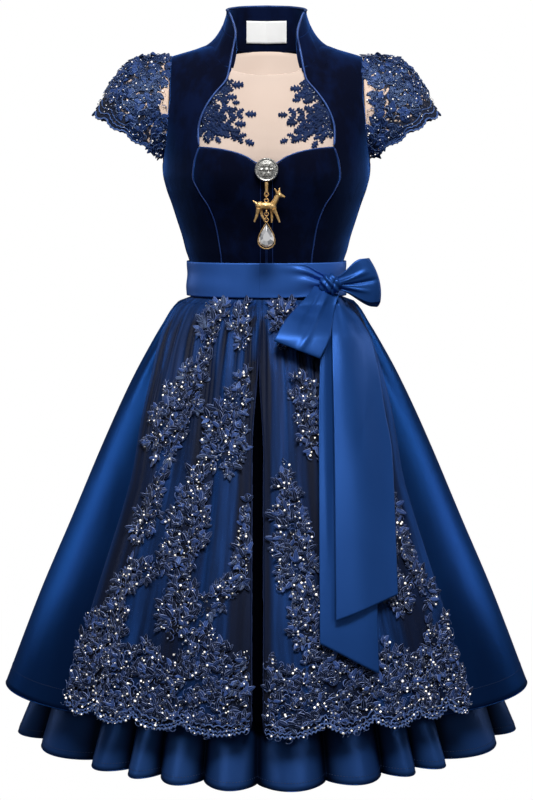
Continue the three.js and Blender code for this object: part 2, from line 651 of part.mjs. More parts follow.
// A tail of ribbon hanging from the knot in front of the apron. Its edges are read from a short table.
function tailSurface({ edges, clearance, fold, slant, spring }) {
  return (u, v) => {
    const top = edges[0].z;
    const bottom = edges.at(-1).z;
    const z0 = mix(bottom, top, v);
    const left = read(edges, "z", "left", z0);
    const right = read(edges, "z", "right", z0);
    const x = mix(left, right, u);
    const z = z0 + slant * (u - 0.5) * (1 - ease(v * 1.6));
    const roll = fold * sin(2 * PI * (u - 0.1)) * mix(0.6, 1, v);
    const away = coverFront(x, z) + clearance + roll + spring * ease((v - 0.88) / 0.12);
    return vec(x, -away, z);
  };
}

const frontTail = tailSurface({
  clearance: 14,
  fold: 3.5,
  slant: 28,
  spring: -3, // how far the top bends out or in to meet the knot
  edges: [
    { z: -375, left: 103, right: 120 },
    { z: -423, left: 100.5, right: 155 },
    { z: -444, left: 100.5, right: 165 },
    { z: -546, left: 101.5, right: 182 },
    { z: -611, left: 102, right: 192 },
    { z: -824, left: 102.5, right: 197 },
  ],
});
const backTail = tailSurface({
  clearance: 3,
  fold: -2.5,
  slant: -50,
  spring: 0,
  edges: [
    { z: -380, left: 99.5, right: 117 },
    { z: -418, left: 98.5, right: 133 },
    { z: -447, left: 86, right: 142 },
    { z: -464, left: 82, right: 148 },
    { z: -560, left: 79, right: 158 },
    { z: -760, left: 78.5, right: 164 },
    { z: -895, left: 78.5, right: 167 },
  ],
});

function knotGeometry() {
  const knot = new THREE.SphereGeometry(KNOT.radius, 12, 8).rotateX(PI / 2);
  const p = knot.attributes.position;
  for (let i = 0; i < p.count; i++) {
    const [x, y, z] = [p.getX(i), p.getY(i), p.getZ(i)].map((along) => along / KNOT.radius);
    const groove = 1 - 0.12 * bell(x - 0.3 - 0.35 * z, 0.16) - 0.08 * bell(x + 0.35 - 0.3 * z, 0.14);
    p.setXYZ(i, p.getX(i) * groove, p.getY(i) * 0.72 * groove, p.getZ(i) * groove);
  }
  return knot.translate(KNOT.x, KNOT.y, KNOT.z);
}

// ---- Button, chain, fawn and drop ----

const BUTTON = { z: -177, radius: 18, thickness: 6 };
const frontFace = (z) => bodyAt(0.3, z, "front").y - VELVET / 2;
const BUTTON_OFF = 3.4; // the shank's length, which clears the piping
const CHARM_Y = frontFace(BUTTON.z) - BUTTON_OFF - BUTTON.thickness / 2;

// A disc with a beaded rim, turned about its axis, which then faces the front.
function buttonGeometry() {
  const r = BUTTON.radius;
  const profile = [
    [0, 0], [r - 2, 0], [r, 1.5], [r, 3.2], [r - 1.4, 4.6], [r - 3, 3.6], [r - 9, 5.2], [3, 5.2], [0, 6.4],
  ]; // distance from the axis and height
  const disc = new THREE.LatheGeometry(profile.map(([x, y]) => new THREE.Vector2(x, y)), 20);
  disc.rotateX(PI);
  const petals = Array.from({ length: 6 }, (_, i) => {
    const petal = new THREE.SphereGeometry(1, 6, 4).scale(4.2, 1.6, 2.2);
    return petal.translate(7.6, -4.8, 0).rotateY(degrees(60 * i));
  });
  const shank = new THREE.CylinderGeometry(4, 4, BUTTON_OFF, 10).translate(0, BUTTON_OFF / 2 - 0.6, -5);
  return joined(disc, shank, ...petals).translate(0, frontFace(BUTTON.z) - BUTTON_OFF, BUTTON.z);
}

// A link lies in the plane of the front (edge on the other way) around a centre.
const link = (z, radius, wire, edgeOn) => {
  const ring = new THREE.TorusGeometry(radius, wire, 4, 8);
  return (edgeOn ? ring.rotateY(PI / 2) : ring.rotateX(PI / 2)).translate(0, 0, z);
};

// A tapered limb between two points of the fawn.
function limb(from, to, r0, r1, sides = 5) {
  const axis = to.clone().sub(from);
  const shape = new THREE.CylinderGeometry(r1, r0, axis.length(), sides);
  shape.applyQuaternion(new THREE.Quaternion().setFromUnitVectors(vec(0, 1, 0), axis.clone().normalize()));
  const middle = from.clone().add(to).multiplyScalar(0.5);
  return shape.translate(middle.x, middle.y, middle.z);
}
const lump = (centre, rx, ry, rz, lean = 0) => {
  const shape = new THREE.SphereGeometry(1, 7, 4).scale(rx, ry, rz).rotateY(degrees(lean));
  return shape.translate(centre.x, centre.y, centre.z);
};

// The fawn walks towards +X, in its own frame: origin at the middle of its back.
const FAWN_LEGS = [
  { side: -2, points: [vec(10, 0, -6), vec(14, 0, -14), vec(18, 0, -24)] },
  { side: 2, points: [vec(7, 0, -6), vec(7.5, 0, -15), vec(7, 0, -24.5)] },
  { side: -2, points: [vec(-11, 0, -5), vec(-13, 0, -14), vec(-16.5, 0, -23.5)] },
  { side: 2, points: [vec(-8, 0, -5), vec(-6.5, 0, -14.5), vec(-1.5, 0, -24)] },
];
function fawnGeometry() {
  const body = [
    lump(vec(-1, 0, -1.5), 12.5, 4.6, 5.2, 0),
    lump(vec(-9, 0, -1.5), 6, 4.6, 6, 0),
    lump(vec(8, 0, -2.2), 5.5, 4.4, 6.2, 0),
    limb(vec(9, 0, 0), vec(15.2, 0, 12), 4.2, 2.7, 6),
    lump(vec(17.5, 0, 13), 4.6, 3, 3.2, 12),
    limb(vec(19, 0, 12.6), vec(25, 0, 10.4), 2.4, 1.1),
    limb(vec(15.4, -1.6, 14), vec(11, -3, 22), 1.9, 0.5),
    limb(vec(16.6, 1.6, 15), vec(18, 3, 23), 1.9, 0.5),
    limb(vec(-13.5, 0, 1), vec(-18.5, 0, 5.5), 1.8, 0.7),
  ];
  const legs = FAWN_LEGS.flatMap(({ side, points }) => {
    const [hip, knee, hoof] = points.map((p) => p.clone().setY(side));
    return [limb(hip, knee, 3, 1.5), limb(knee, hoof, 1.7, 1)];
  });
  return joined(...body, ...legs);
}

const FAWN_Z = -230;
const FAWN_SIZE = 1.12;
const HANG_Z = BUTTON.z - BUTTON.radius - 1.2; // the charm turns about this point under the button
const charmParts = [
  limb(vec(0, 0, HANG_Z - 0.4), vec(0, 0, HANG_Z - 15), 2.4, 1.9, 8),
  link(HANG_Z - 18, 3, 0.9, false),
  link(HANG_Z - 22.8, 3, 0.9, true),
  link(HANG_Z - 27.6, 3, 0.9, false),
];
const BELLY_RING_Z = FAWN_Z - 10.5;
const THREADED = 3.9; // distance between the middles of two rings that hang in each other
const charmGeometry = () =>
  joined(
    ...charmParts,
    limb(vec(0, 0, HANG_Z - 30), vec(0, 0, FAWN_Z), 1.2, 1.2),
    fawnGeometry().scale(FAWN_SIZE, FAWN_SIZE, FAWN_SIZE).translate(0, 0, FAWN_Z),
    link(BELLY_RING_Z, 3, 0.9, true),
  ).translate(0, CHARM_Y, 0);

const DROP_RING_Z = BELLY_RING_Z - 2 * THREADED - 4.8;
const DROP = { z: DROP_RING_Z - 23.4, width: 17.5, height: 20, depth: 5 };
const linksUnderFawn = () =>
  joined(
    link(BELLY_RING_Z - THREADED, 3, 0.9, false),
    link(DROP_RING_Z + THREADED, 3, 0.9, true),
  ).translate(0, CHARM_Y, 0);

// The pear outline, t from 0 at the tip all round: wide below, pointed above.
const pear = (turn, width, height) => {
  const point = sin(turn / 2) ** 1.35;
  return [width * sin(turn) * point, height * cos(turn)];
};

// A pear-shaped stone with a table, a girdle and a shallow back, in facets.
function stoneGeometry() {
  const rings = [
    { size: 0.45, y: -DROP.depth - 1.4 },
    { size: 0.78, y: -DROP.depth + 1.4 },
    { size: 0.94, y: -0.8 },
    { size: 0.94, y: 0.8 },
    { size: 0.4, y: 3.4 },
  ];
  const sides = 16;
  const points = rings.map(({ size, y }) =>
    Array.from({ length: sides }, (_, i) => {
      const [x, z] = pear(degrees((360 * (i + 0.5)) / sides), DROP.width * size, (DROP.height - 1.4) * size);
      return vec(-x, y, z - 1.5 * (1 - size));
    }),
  );
  return cappedTube(points).translate(0, CHARM_Y, DROP.z);
}

// A tube through rings of points with a fan closing each end.
function cappedTube(rings) {
  const sides = rings[0].length;
  const middle = (ring) => ring.reduce((sum, p) => sum.add(p), vec(0, 0, 0)).divideScalar(sides);
  const points = [...rings.flat(), middle(rings[0]), middle(rings.at(-1))];
  const faces = [];
  const [first, last] = [points.length - 2, points.length - 1];
  for (let i = 0; i < sides; i++) {
    const j = (i + 1) % sides;
    for (let r = 0; r < rings.length - 1; r++) {
      const [a, b, c, d] = [r * sides + i, r * sides + j, (r + 1) * sides + j, (r + 1) * sides + i];
      faces.push(a, c, b, a, d, c);
    }
    faces.push(first, i, j);
    faces.push(last, (rings.length - 1) * sides + j, (rings.length - 1) * sides + i);
  }
  return new THREE.BufferGeometry()
    .setAttribute("position", new THREE.Float32BufferAttribute(points.flatMap((p) => [p.x, p.y, p.z]), 3))
    .setIndex(faces);
}

// The gilded setting: a band around the stone, with its hanging ring on top.
function settingGeometry() {
  const ringOf = (size, y) =>
    Array.from({ length: 18 }, (_, i) => {
      const [x, z] = pear(degrees((360 * (i + 0.5)) / 18), DROP.width * size, DROP.height * size);
      return vec(-x, y, z);
    });
  const [out, inn] = [1.06, 0.99];
  const band = stitch(
    [ringOf(out, 2), ringOf(out + 0.04, 0), ringOf(out, -2)],
    [ringOf(inn, 2), ringOf(inn, 0), ringOf(inn, -2)],
    true,
  );
  return joined(band, link(DROP_RING_Z - DROP.z, 3, 0.9, false)).translate(0, CHARM_Y, DROP.z);
}

// ---- Lace sprays on the yoke ----

// A spray grows inwards from the keyhole's edge. Its inner edge is cut into leaf tips.
const YOKE_SPRAY = { low: -140, high: -50, clear: 6, reach: 76, tips: 5 };
const SPRAY_THICKNESS = 1.4;
const SPRAY_OFF = NET / 2 + SPRAY_THICKNESS / 2 + 1.4;
const keyholeX = [...KEYHOLE_EDGE].reverse();

function yokeSpraySurface(u, v) {
  const z = mix(YOKE_SPRAY.low, YOKE_SPRAY.high, v);
  const envelope = YOKE_SPRAY.reach * sin(PI * (0.06 + 0.9 * v ** 0.8)) ** 0.7;
  const tip = 0.66 + 0.34 * cos(2 * PI * (YOKE_SPRAY.tips * v - 0.45));
  const x = read(keyholeX, "z", "x", z) - YOKE_SPRAY.clear - (1 - u) * envelope * tip;
  return bodyAt(x, z + 7 * (u - 1) * sin(PI * v), "front", YOKE_INSET + SPRAY_OFF);
}

// ---- Label ----

// The label's place on the collar, in shares of the collar's length and height, and its thickness.
const LABEL = { around: 0.205, low: 0.17, high: 0.7, thickness: 1.2, off: 1.1 };
const LABEL_MIDDLE = mix(LABEL.low, LABEL.high, 0.5);
const LABEL_UP = collarSurface(0.5, LABEL.high).sub(collarSurface(0.5, LABEL.low));
const LABEL_HEIGHT = LABEL_UP.length();
LABEL_UP.normalize();
const insideCollar = (around) => {
  const inside = -(VELVET / 2 + LABEL.thickness / 2 + LABEL.off);
  const normal = normalAt(collarSurface, around, LABEL_MIDDLE, false);
  return collarSurface(around, LABEL_MIDDLE).addScaledVector(normal, inside);
};

// A strip that is bent round inside the collar and straight up and down, so each of its faces is flat.
const labelSurface = (u, v) => {
  const point = insideCollar(0.5 + LABEL.around * (u - 0.5));
  const above = point.clone().sub(insideCollar(0.5)).dot(LABEL_UP);
  return point.addScaledVector(LABEL_UP, LABEL_HEIGHT * (v - 0.5) - above);
};

// ---- Materials ----

const finish = (metalness) => (color, roughness) =>
  new THREE.MeshStandardMaterial({ color, roughness, metalness });
const cloth = finish(0);
const metal = finish(1);
const velvet = cloth(0x0a1c4e, 0.95);
const pipingSatin = cloth(0x1c3f86, 0.5);
const satin = cloth(0x163a7a, 0.35);
const sashSatin = cloth(0x2250a0, 0.32);
const laceNet = cloth(0x1c2c5c, 0.85);
const skinNet = cloth(0xe9cdb9, 0.8);
const labelCloth = cloth(0xf2f2f0, 0.6);
const silver = metal(0xb9b9b4, 0.35);
const gilt = metal(0xd9a548, 0.3);
const crystal = finish(0)(0xe6ebf2, 0.03);

// ---- Assembly ----

const dirndl = new THREE.Group();
function add(name, geometry, material) {
  const mesh = new THREE.Mesh(geometry, material);
  mesh.name = name;
  dirndl.add(mesh);
}
// Adds a piece of the +X side and its mirror image. The wearer's left is at +X.
function addPair(name, geometry, material) {
  add(`${name}_left`, geometry, material);
  add(`${name}_right`, mirrorGeometry(geometry), material);
}

const panel = (surface, columns, levels) => wall(surface, { columns, levels, thickness: VELVET });
addPair("bodice_centre_front", panel(centreFront, 5, FRONT_LEVELS), velvet);
addPair("bodice_side_front", panel(sideFront, 6, PANEL_LEVELS), velvet);
add("bodice_back", panel(wholeBack, 12, PANEL_LEVELS), velvet);
add("stand_collar", wall(collarSurface, { columns: 22, rows: 4, thickness: VELVET }), velvet);
add("net_yoke", wall(wholeYoke, { columns: 12, rows: 8, thickness: NET }), skinNet);
add("back_neck_facing", wall(backFacing, { columns: 8, rows: 2, thickness: NET }), skinNet);
addPair("yoke_lace", wall(yokeSpraySurface, { columns: 3, rows: 20, thickness: SPRAY_THICKNESS }), laceNet);
addPair("keyhole_piping", strand(keyholePiping, PIPING_RADIUS, 14), pipingSatin);
addPair("sweetheart_piping", strand(sweetheartPiping, PIPING_RADIUS, 9), pipingSatin);
addPair("collar_edge_piping", strand(collarEdgePiping, PIPING_RADIUS, 8), pipingSatin);
add("collar_top_piping", strand(collarTopPiping, PIPING_RADIUS, 26), pipingSatin);
add("neck_label", wall(labelSurface, { columns: 7, rows: 2, thickness: LABEL.thickness }), labelCloth);
addPair("cap_sleeve", wall(sleeveSurface, { columns: 27, rows: 5, thickness: NET, raise: sleeveLace }), laceNet);

const skirtLevels = levelsFor(WAIST_SEAM_Z, SKIRT_HEM_Z, SKIRT_ROWS);
const underskirtRows = UNDERSKIRT.slice(1, -1).map(({ z }) => z);
const underskirtLevels = levelsFor(UNDERSKIRT[0].z, RUFFLE_SEAM_Z, underskirtRows);
const apronLevels = levelsFor(APRON_TOP_Z, APRON_HEM_Z, APRON_ROWS);
const tube = (surface, columns, levels) => wall(surface, { columns, levels, thickness: SATIN, closed: true });
add("skirt", tube(skirtSurface, 84, skirtLevels), satin);
add("underskirt", tube(underskirtSurface, 24, underskirtLevels), satin);
add("ruffle", tube(ruffleSurface, RUFFLE_WAVES * 5, [0, 1]), satin);
add("apron", wall(apronSurface, { columns: 50, levels: apronLevels, thickness: NET, raise: apronLace }), laceNet);

add("sash_band", wall(sashSurface, { columns: 36, rows: 2, thickness: RIBBON, closed: true }), sashSatin);
add("bow_knot", knotGeometry(), sashSatin);
const loop = (surface) => wall(surface, { columns: 20, rows: 4, thickness: RIBBON, closed: true });
add("bow_loop_outer", loop(outerLoop), sashSatin);
add("bow_loop_lower", loop(lowerLoop), sashSatin);
add("sash_tail_front", wall(frontTail, { columns: 5, rows: 10, thickness: RIBBON }), sashSatin);
add("sash_tail_back", wall(backTail, { columns: 5, rows: 10, thickness: RIBBON }), sashSatin);

add("silver_button", buttonGeometry(), silver);
add("fawn_charm", charmGeometry(), gilt);
add("drop_links", linksUnderFawn(), gilt);
add("drop_setting", settingGeometry(), gilt);
add("drop_stone", stoneGeometry(), crystal);

export default dirndl;
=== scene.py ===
import math

import bmesh
import bpy
import numpy as np
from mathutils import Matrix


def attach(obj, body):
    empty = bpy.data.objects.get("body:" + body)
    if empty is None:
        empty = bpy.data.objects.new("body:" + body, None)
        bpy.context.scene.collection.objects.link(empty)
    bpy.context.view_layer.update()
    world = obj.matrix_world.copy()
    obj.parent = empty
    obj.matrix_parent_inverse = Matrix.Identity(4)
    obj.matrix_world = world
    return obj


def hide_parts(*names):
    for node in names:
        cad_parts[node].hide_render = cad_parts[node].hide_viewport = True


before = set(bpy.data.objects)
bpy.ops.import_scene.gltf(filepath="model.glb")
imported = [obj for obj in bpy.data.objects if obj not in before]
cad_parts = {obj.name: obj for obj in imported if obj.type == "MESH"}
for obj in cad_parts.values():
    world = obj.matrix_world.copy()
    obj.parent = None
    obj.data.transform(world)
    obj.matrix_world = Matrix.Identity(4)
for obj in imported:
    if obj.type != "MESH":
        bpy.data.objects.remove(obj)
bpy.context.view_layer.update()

# A festive dirndl in midnight blue: velvet bodice, net yoke, lace cap sleeves, satin skirt, lace apron,
# sash with its bow, ruffled underskirt, and a button, fawn and crystal drop on the front.
#
# Sizes are in millimetres and become metres in the meshes. On each cloth surface u runs to the right and
# v runs up, both from 0 to 1, as seen from outside.

MM = 0.001
random = np.random.default_rng(7)

# ---- Driving sizes ----

SEAM_GAP = 0.2
HALF_GAP = SEAM_GAP / 2
SHOULDER = (151, 0)
NECK = (83, 20)
SEAM_Y = 4
SHOULDER_ROUNDING = 70
UNDERARM_Z = -160
WAIST_SEAM_Z = -353
BODICE_BOTTOM_Z = WAIST_SEAM_Z + 0.5
SWEETHEART_Z = -174.5
SASH_TOP_Z = -321
SASH_BOTTOM_Z = -375
SKIRT_HEM_Z = -1008
UNDERSKIRT_TOP_Z = -358
APRON_TOP_Z = -366
APRON_HEM_Z = -1004
RUFFLE_SEAM_Z = -975
RUFFLE_TOP_Z = RUFFLE_SEAM_Z - 0.6
RUFFLE_HEM_Z = -1081
VELVET = 2.0  # thickness of each cloth as it shows
SATIN = 1.0
NET = 0.6
RIBBON = 1.0

# ---- Curves and tables ----


def mix(a, b, t):
    return a + (b - a) * t


def ease(t):
    t = np.clip(t, 0, 1)
    return t * t * (3 - 2 * t)


def bell(distance, width):
    return np.exp(-((distance / width) ** 2))


def smooth_read(x, y, at):
    """Reads y at some places on a smooth line through (x, y) that never swings beyond the points."""
    slope = np.diff(y) / np.diff(x)
    before = np.concatenate([slope[:1], slope])
    after = np.concatenate([slope, slope[-1:]])
    total = np.where(before * after > 0, before + after, 1)
    bend = np.where(before * after > 0, 2 * before * after / total, 0)
    at = np.clip(at, x[0], x[-1])
    k = np.clip(np.searchsorted(x, at, side="right") - 1, 0, len(x) - 2)
    span = x[k + 1] - x[k]
    t = (at - x[k]) / span
    rise = y[k + 1] - y[k]
    bulge = mix(bend[k] * span - rise, rise - bend[k + 1] * span, t)
    return y[k] + rise * t + t * (1 - t) * bulge


class Table:
    """Rows with named columns, read by the first column."""

    def __init__(self, columns, *rows):
        self.names = columns.split()
        rows = sorted(rows)
        self.columns = {n: np.array([row[i] for row in rows], float) for i, n in enumerate(self.names)}

    def read(self, column, at):
        return smooth_read(self.columns[self.names[0]], self.columns[column], np.asarray(at, float))


def along(points, t):
    """Points on the line through a few points, t from 0 to 1 along its length."""
    points = np.asarray(points, float)
    steps = np.linalg.norm(np.diff(points, axis=0), axis=1)
    length = np.concatenate([[0], np.cumsum(steps)])
    length = length / length[-1]
    return np.stack([smooth_read(length, points[:, k], np.asarray(t, float)) for k in range(3)], -1)


def xyz(x, y, z):
    return np.stack(np.broadcast_arrays(*(np.asarray(c, float) for c in (x, y, z))), -1)


def unit(vectors):
    return vectors / np.maximum(np.linalg.norm(vectors, axis=-1, keepdims=True), 1e-9)


def bezier(a, b, c, d, t):
    """A cubic curve from a to d that starts towards b and comes in from c."""
    return a * (1 - t) ** 3 + b * 3 * t * (1 - t) ** 2 + c * 3 * t * t * (1 - t) + d * t**3


def mirrored(surface):
    """The same surface on the other side of the body."""
    return lambda u, v: surface(1 - u, v) * np.array([-1, 1, 1])


def moved(points, dx, dz=0):
    return [(x + dx, z + dz) for x, z in points]


def frame_on(surface, u, v, step=1e-3):
    """Points of a surface, with the directions to the right, up and outwards there."""
    right = unit(surface(u + step, v) - surface(u - step, v))
    up = surface(u, v + step) - surface(u, v - step)
    normal = unit(np.cross(right, up))
    return surface(u, v), right, np.cross(normal, right), normal


def turned(right, up, turn):
    """Directions to the right and up, turned clockwise in their plane."""
    c, s = np.cos(turn)[:, None], np.sin(turn)[:, None]
    return right * c - up * s, up * c + right * s


# ---- The body that the bodice follows ----

TORSO_ROUNDNESS = 2.3
ANGLE_WEIGHT = 100  # a radian round the body counts as this many millimetres along a seam
TORSO = Table(
    "z width front back",
    (30, 172.8, 52, 76),
    (0, 172.8, 60, 84),
    (-40, 172.8, 77, 98),
    (-80, 172.3, 98, 107),
    (-110, 168.8, 112, 109),
    (-130, 166.2, 119, 109),
    (-150, 164.2, 124, 108),
    (-162, 163.5, 125, 107),
    (-180, 163.2, 125, 105),
    (-205, 158, 121, 101),
    (-231, 149, 114, 96),
    (-256, 141, 106, 91),
    (-281, 133, 98, 86),
    (-307, 126.3, 92, 81),
    (-315, 123.4, 89.5, 79),
    (-323, 121.4, 88, 77.5),
    (-356, 120.5, 87, 77),
)
BUST = {"x": 72, "z": -184, "depth": 12, "width": 42, "height": 46}


def shoulder_height(x):
    return mix(NECK[1], SHOULDER[1], (np.abs(x) - NECK[0]) / (SHOULDER[0] - NECK[0]))


def shoulder_share(x, z):
    below = np.clip((shoulder_height(x) - z) / SHOULDER_ROUNDING, 0, 1)
    return np.sqrt(1 - (1 - below) ** 2)


def body_angle(x, z, side):
    width, depth = TORSO.read("width", z), TORSO.read(side, z)
    inside = np.maximum(0, 1 - (np.abs(x) / width) ** TORSO_ROUNDNESS)
    return np.arctan2(np.abs(x), depth * inside ** (1 / TORSO_ROUNDNESS))


def body_point(angle, z, side, outset=0.0):
    width, depth = TORSO.read("width", z), TORSO.read(side, z)
    p = TORSO_ROUNDNESS
    s, c = np.abs(np.sin(angle)), np.maximum(0, np.cos(angle))
    radius = outset + ((s / width) ** p + (c / depth) ** p) ** (-1 / p)
    x = radius * s
    reach = radius * c * shoulder_share(x, z) + HALF_GAP
    if side == "front":
        bust = BUST["depth"] * bell(x - BUST["x"], BUST["width"]) * bell(z - BUST["z"], BUST["height"])
        reach = reach + bust * ease(c * 4)
    return xyz(x, SEAM_Y + (-reach if side == "front" else reach), z)


def body_at(x, z, side, outset=0.0):
    """The bodice's point at x and z; x below 0 is on the wearer's right."""
    x, z = np.asarray(x, float), np.asarray(z, float)
    point = body_point(body_angle(x, z, side), z, side, outset)
    return point * xyz(np.where(x < 0, -1, 1), 1, 1)


def body_patch(side, inner, outer, bottom, top, outset=0.0):
    """A patch of the body between four edges of (x, z) points on the +X side."""

    def flat(points):
        x, z = np.array(points, float).T
        return xyz(body_angle(x, z, side) * ANGLE_WEIGHT, 0, z)

    left, right, low, high = (flat(edge) for edge in (inner, outer, bottom, top))

    def surface(u, v):
        a, b = u[:, None], v[:, None]
        point = along(left, v) * (1 - a) + along(right, v) * a
        point = point + along(low, u) * (1 - b) + along(high, u) * b
        point = point - low[0] * (1 - a) * (1 - b) - low[-1] * a * (1 - b)
        point = point - high[0] * (1 - a) * b - high[-1] * a * b
        return body_point(point[:, 0] / ANGLE_WEIGHT, point[:, 2], side, outset)

    return surface


PRINCESS_SEAM = [
    (69.5, BODICE_BOTTOM_Z), (69.8, -317), (73.2, -290), (78, -263), (88, -235), (104, -209), (113, -187),
    (111, -167), (104, -143.5),
]
KEYHOLE_EDGE = [
    (104, -143.5), (106, -130), (106, -116), (103, -100), (94.5, -80), (81, -60), (64, -40), (54, -21),
]
SWEETHEART_EDGE = [
    (HALF_GAP, SWEETHEART_Z), (17, -168), (30.5, -159.5), (50.5, -152), (75, -147), (103.8, -144),
]
COLLAR_SEAM_FRONT = [(54, -21), (67, -14), (78, 1), NECK]
COLLAR_SEAM_BACK = [(0, 11), (30, 11.5), (62, 15), NECK]
ARMHOLE = Table(
    "z x", (0, 151), (-40, 150.6), (-80, 151.6), (-110, 153.8), (-130, 156.4), (-150, 160.2), (-160, 163.4)
)
ARMHOLE_LINE = [(float(ARMHOLE.read("x", z)), z) for z in (-160, -150, -130, -110, -80, -40, 0)]
SIDE_LEVELS = (BODICE_BOTTOM_Z, -336, -323, -315, -307, -281, -256, -231, -205, -180)
SIDE_LINE = [(float(TORSO.read("width", z)), z) for z in SIDE_LEVELS]
SHOULDER_LINE = [(118, float(shoulder_height(118))), SHOULDER]

centre_front = body_patch(
    "front",
    inner=[(HALF_GAP, BODICE_BOTTOM_Z), (HALF_GAP, -270), (HALF_GAP, SWEETHEART_Z)],
    outer=moved(PRINCESS_SEAM, -SEAM_GAP),
    bottom=[(HALF_GAP, BODICE_BOTTOM_Z), (35, BODICE_BOTTOM_Z), (69.3, BODICE_BOTTOM_Z)],
    top=SWEETHEART_EDGE,
)
side_front = body_patch(
    "front",
    inner=moved(PRINCESS_SEAM, SEAM_GAP) + KEYHOLE_EDGE[1:],
    outer=SIDE_LINE + ARMHOLE_LINE,
    bottom=[(69.7, BODICE_BOTTOM_Z), (90, BODICE_BOTTOM_Z), (110, BODICE_BOTTOM_Z), SIDE_LINE[0]],
    top=COLLAR_SEAM_FRONT + SHOULDER_LINE,
)
half_back = body_patch(
    "back",
    inner=[(0, BODICE_BOTTOM_Z), (0, -200), (0, -60), (0, 11)],
    outer=SIDE_LINE + ARMHOLE_LINE,
    bottom=[(0, BODICE_BOTTOM_Z), (50, BODICE_BOTTOM_Z), (95, BODICE_BOTTOM_Z), SIDE_LINE[0]],
    top=COLLAR_SEAM_BACK + SHOULDER_LINE,
)


def two_halves(half, first_is_left):
    """A surface over both sides of the body, made of one half and its mirror image."""

    def surface(u, v):
        share = np.abs(2 * u - 1)
        side = np.where((u < 0.5) == first_is_left, 1, -1)
        return half(share, v) * xyz(side, 1, 1)

    return surface


whole_back = two_halves(half_back, True)

YOKE_INSET = -3.8
YOKE_TUCK = 7
half_yoke = body_patch(
    "front",
    inner=[(0, -181.5), (0, -110), (0, -31)],
    outer=moved(KEYHOLE_EDGE, YOKE_TUCK),
    bottom=[(0, -181.5), (18, -175), (32.3, -166.5), (53.5, -159), (79.5, -154), (109.6, -151.1)],
    top=[(0, -31), (20, -29.5), (42, -25), (58, -18)],
    outset=YOKE_INSET,
)
whole_yoke = two_halves(half_yoke, False)


def back_facing(u, v):
    x = mix(66, -66, u)
    return body_at(x, mix(-62, 12.5 - 7 * (x / 66) ** 2, v), "back", YOKE_INSET - 3)


# ---- Stand collar ----

COLLAR_INSET = 3.6
COLLAR_LIFT = 1.2
COLLAR_TOP = [(59, -24, 69), (62.5, -4, 71.5), (60.5, 22, 75.5), (38, 58, 81.5), (0, 70, 83.5)]


def collar_seam():
    front = [body_at(x, z, "front") for x, z in COLLAR_SEAM_FRONT]
    back = [body_at(x, z, "back") for x, z in COLLAR_SEAM_BACK[::-1][1:]]
    points = np.array(front + back)
    inwards = unit(np.stack([-points[:, 0], SEAM_Y - points[:, 1], 0 * points[:, 2]], -1))
    return points + inwards * COLLAR_INSET + np.array([0, 0, COLLAR_LIFT])


COLLAR_SEAM = collar_seam()


def share_back(u):
    """How far round from the front edges a place is: 0 there and 1 at the middle of the back."""
    return np.where(u < 0.5, 2 * u, 2 - 2 * u)


def to_side(u):
    """Turns a point of the +X side into its mirror image where u is past the middle of the back."""
    return xyz(np.where(u < 0.5, 1, -1), 1, 1)


def collar(u, v):
    """The collar from its front edge on the +X side (u 0) round the back to the other front edge."""
    share = share_back(u)
    foot, top = along(COLLAR_SEAM, share), along(COLLAR_TOP, share)
    middle = (foot + top) / 2 - xyz(17 * bell(share, 0.22), 0, 0)
    b = v[:, None]
    point = foot * (1 - b) ** 2 + middle * 2 * b * (1 - b) + top * b * b
    return point * to_side(u)


# The velvet is cut so that the shoulders flow up into the collar: this is the foot of that flow.
FLOW_FRONT = [(60, -33), (80, -27), (97, -8), (108, 12.8)]
FLOW_BACK = [(0, -8), (36, -7), (76, -1), (108, 12.8)]
FLOW_TOP = 0.52  # where the flow ends, as a share of the collar's height


def flow_foot():
    front = [body_at(x, z, "front", VELVET / 2 - 0.1) for x, z in FLOW_FRONT]
    back = [body_at(x, z, "back", VELVET / 2 - 0.1) for x, z in FLOW_BACK[::-1][1:]]
    return np.array(front + back)


FLOW_FOOT = flow_foot()


def collar_flow(u, v):
    """The velvet between the shoulders and the collar, u as on the collar and v upwards."""
    share = share_back(u)
    half = share / 2
    foot = along(FLOW_FOOT, share)
    seam = along(COLLAR_SEAM, share)
    top, _, up, out = frame_on(collar, np.clip(half, 2e-3, 1), np.full_like(u, FLOW_TOP))
    top = top + out * (VELVET / 2 + 0.1)
    first = foot + 0.62 * (seam - foot)
    second = top - up * 17
    point = bezier(foot, first, second, top, v[:, None])
    soft = 0.5 * np.sin(9 * share + 5 * v) * np.sin(math.pi * v)
    return (point + out * soft[:, None]) * to_side(u)


# ---- Cap sleeves ----

SLEEVE_REACH = math.radians(152)
CUFF_CENTRE = np.array([218, 2, -127.0])
CUFF_ALONG = np.array([0.85, 0, 0.527])
CUFF_OUT = np.array([0.527, 0, -0.85])
CUFF_LONG = 67
CUFF_DEEP = 62
SLEEVE_SCALLOPS = 9
SLEEVE_SCALLOP_DEPTH = 8
SLEEVE_OFF = 1.6


def armhole_point(turn):
    z = mix(UNDERARM_Z, SHOULDER[1], (1 + np.cos(turn)) / 2)
    x = ARMHOLE.read("x", z)
    front = (turn > 0)[:, None]
    return np.where(front, body_at(x, z, "front"), body_at(x, z, "back")) + xyz(SLEEVE_OFF, 0, 0)


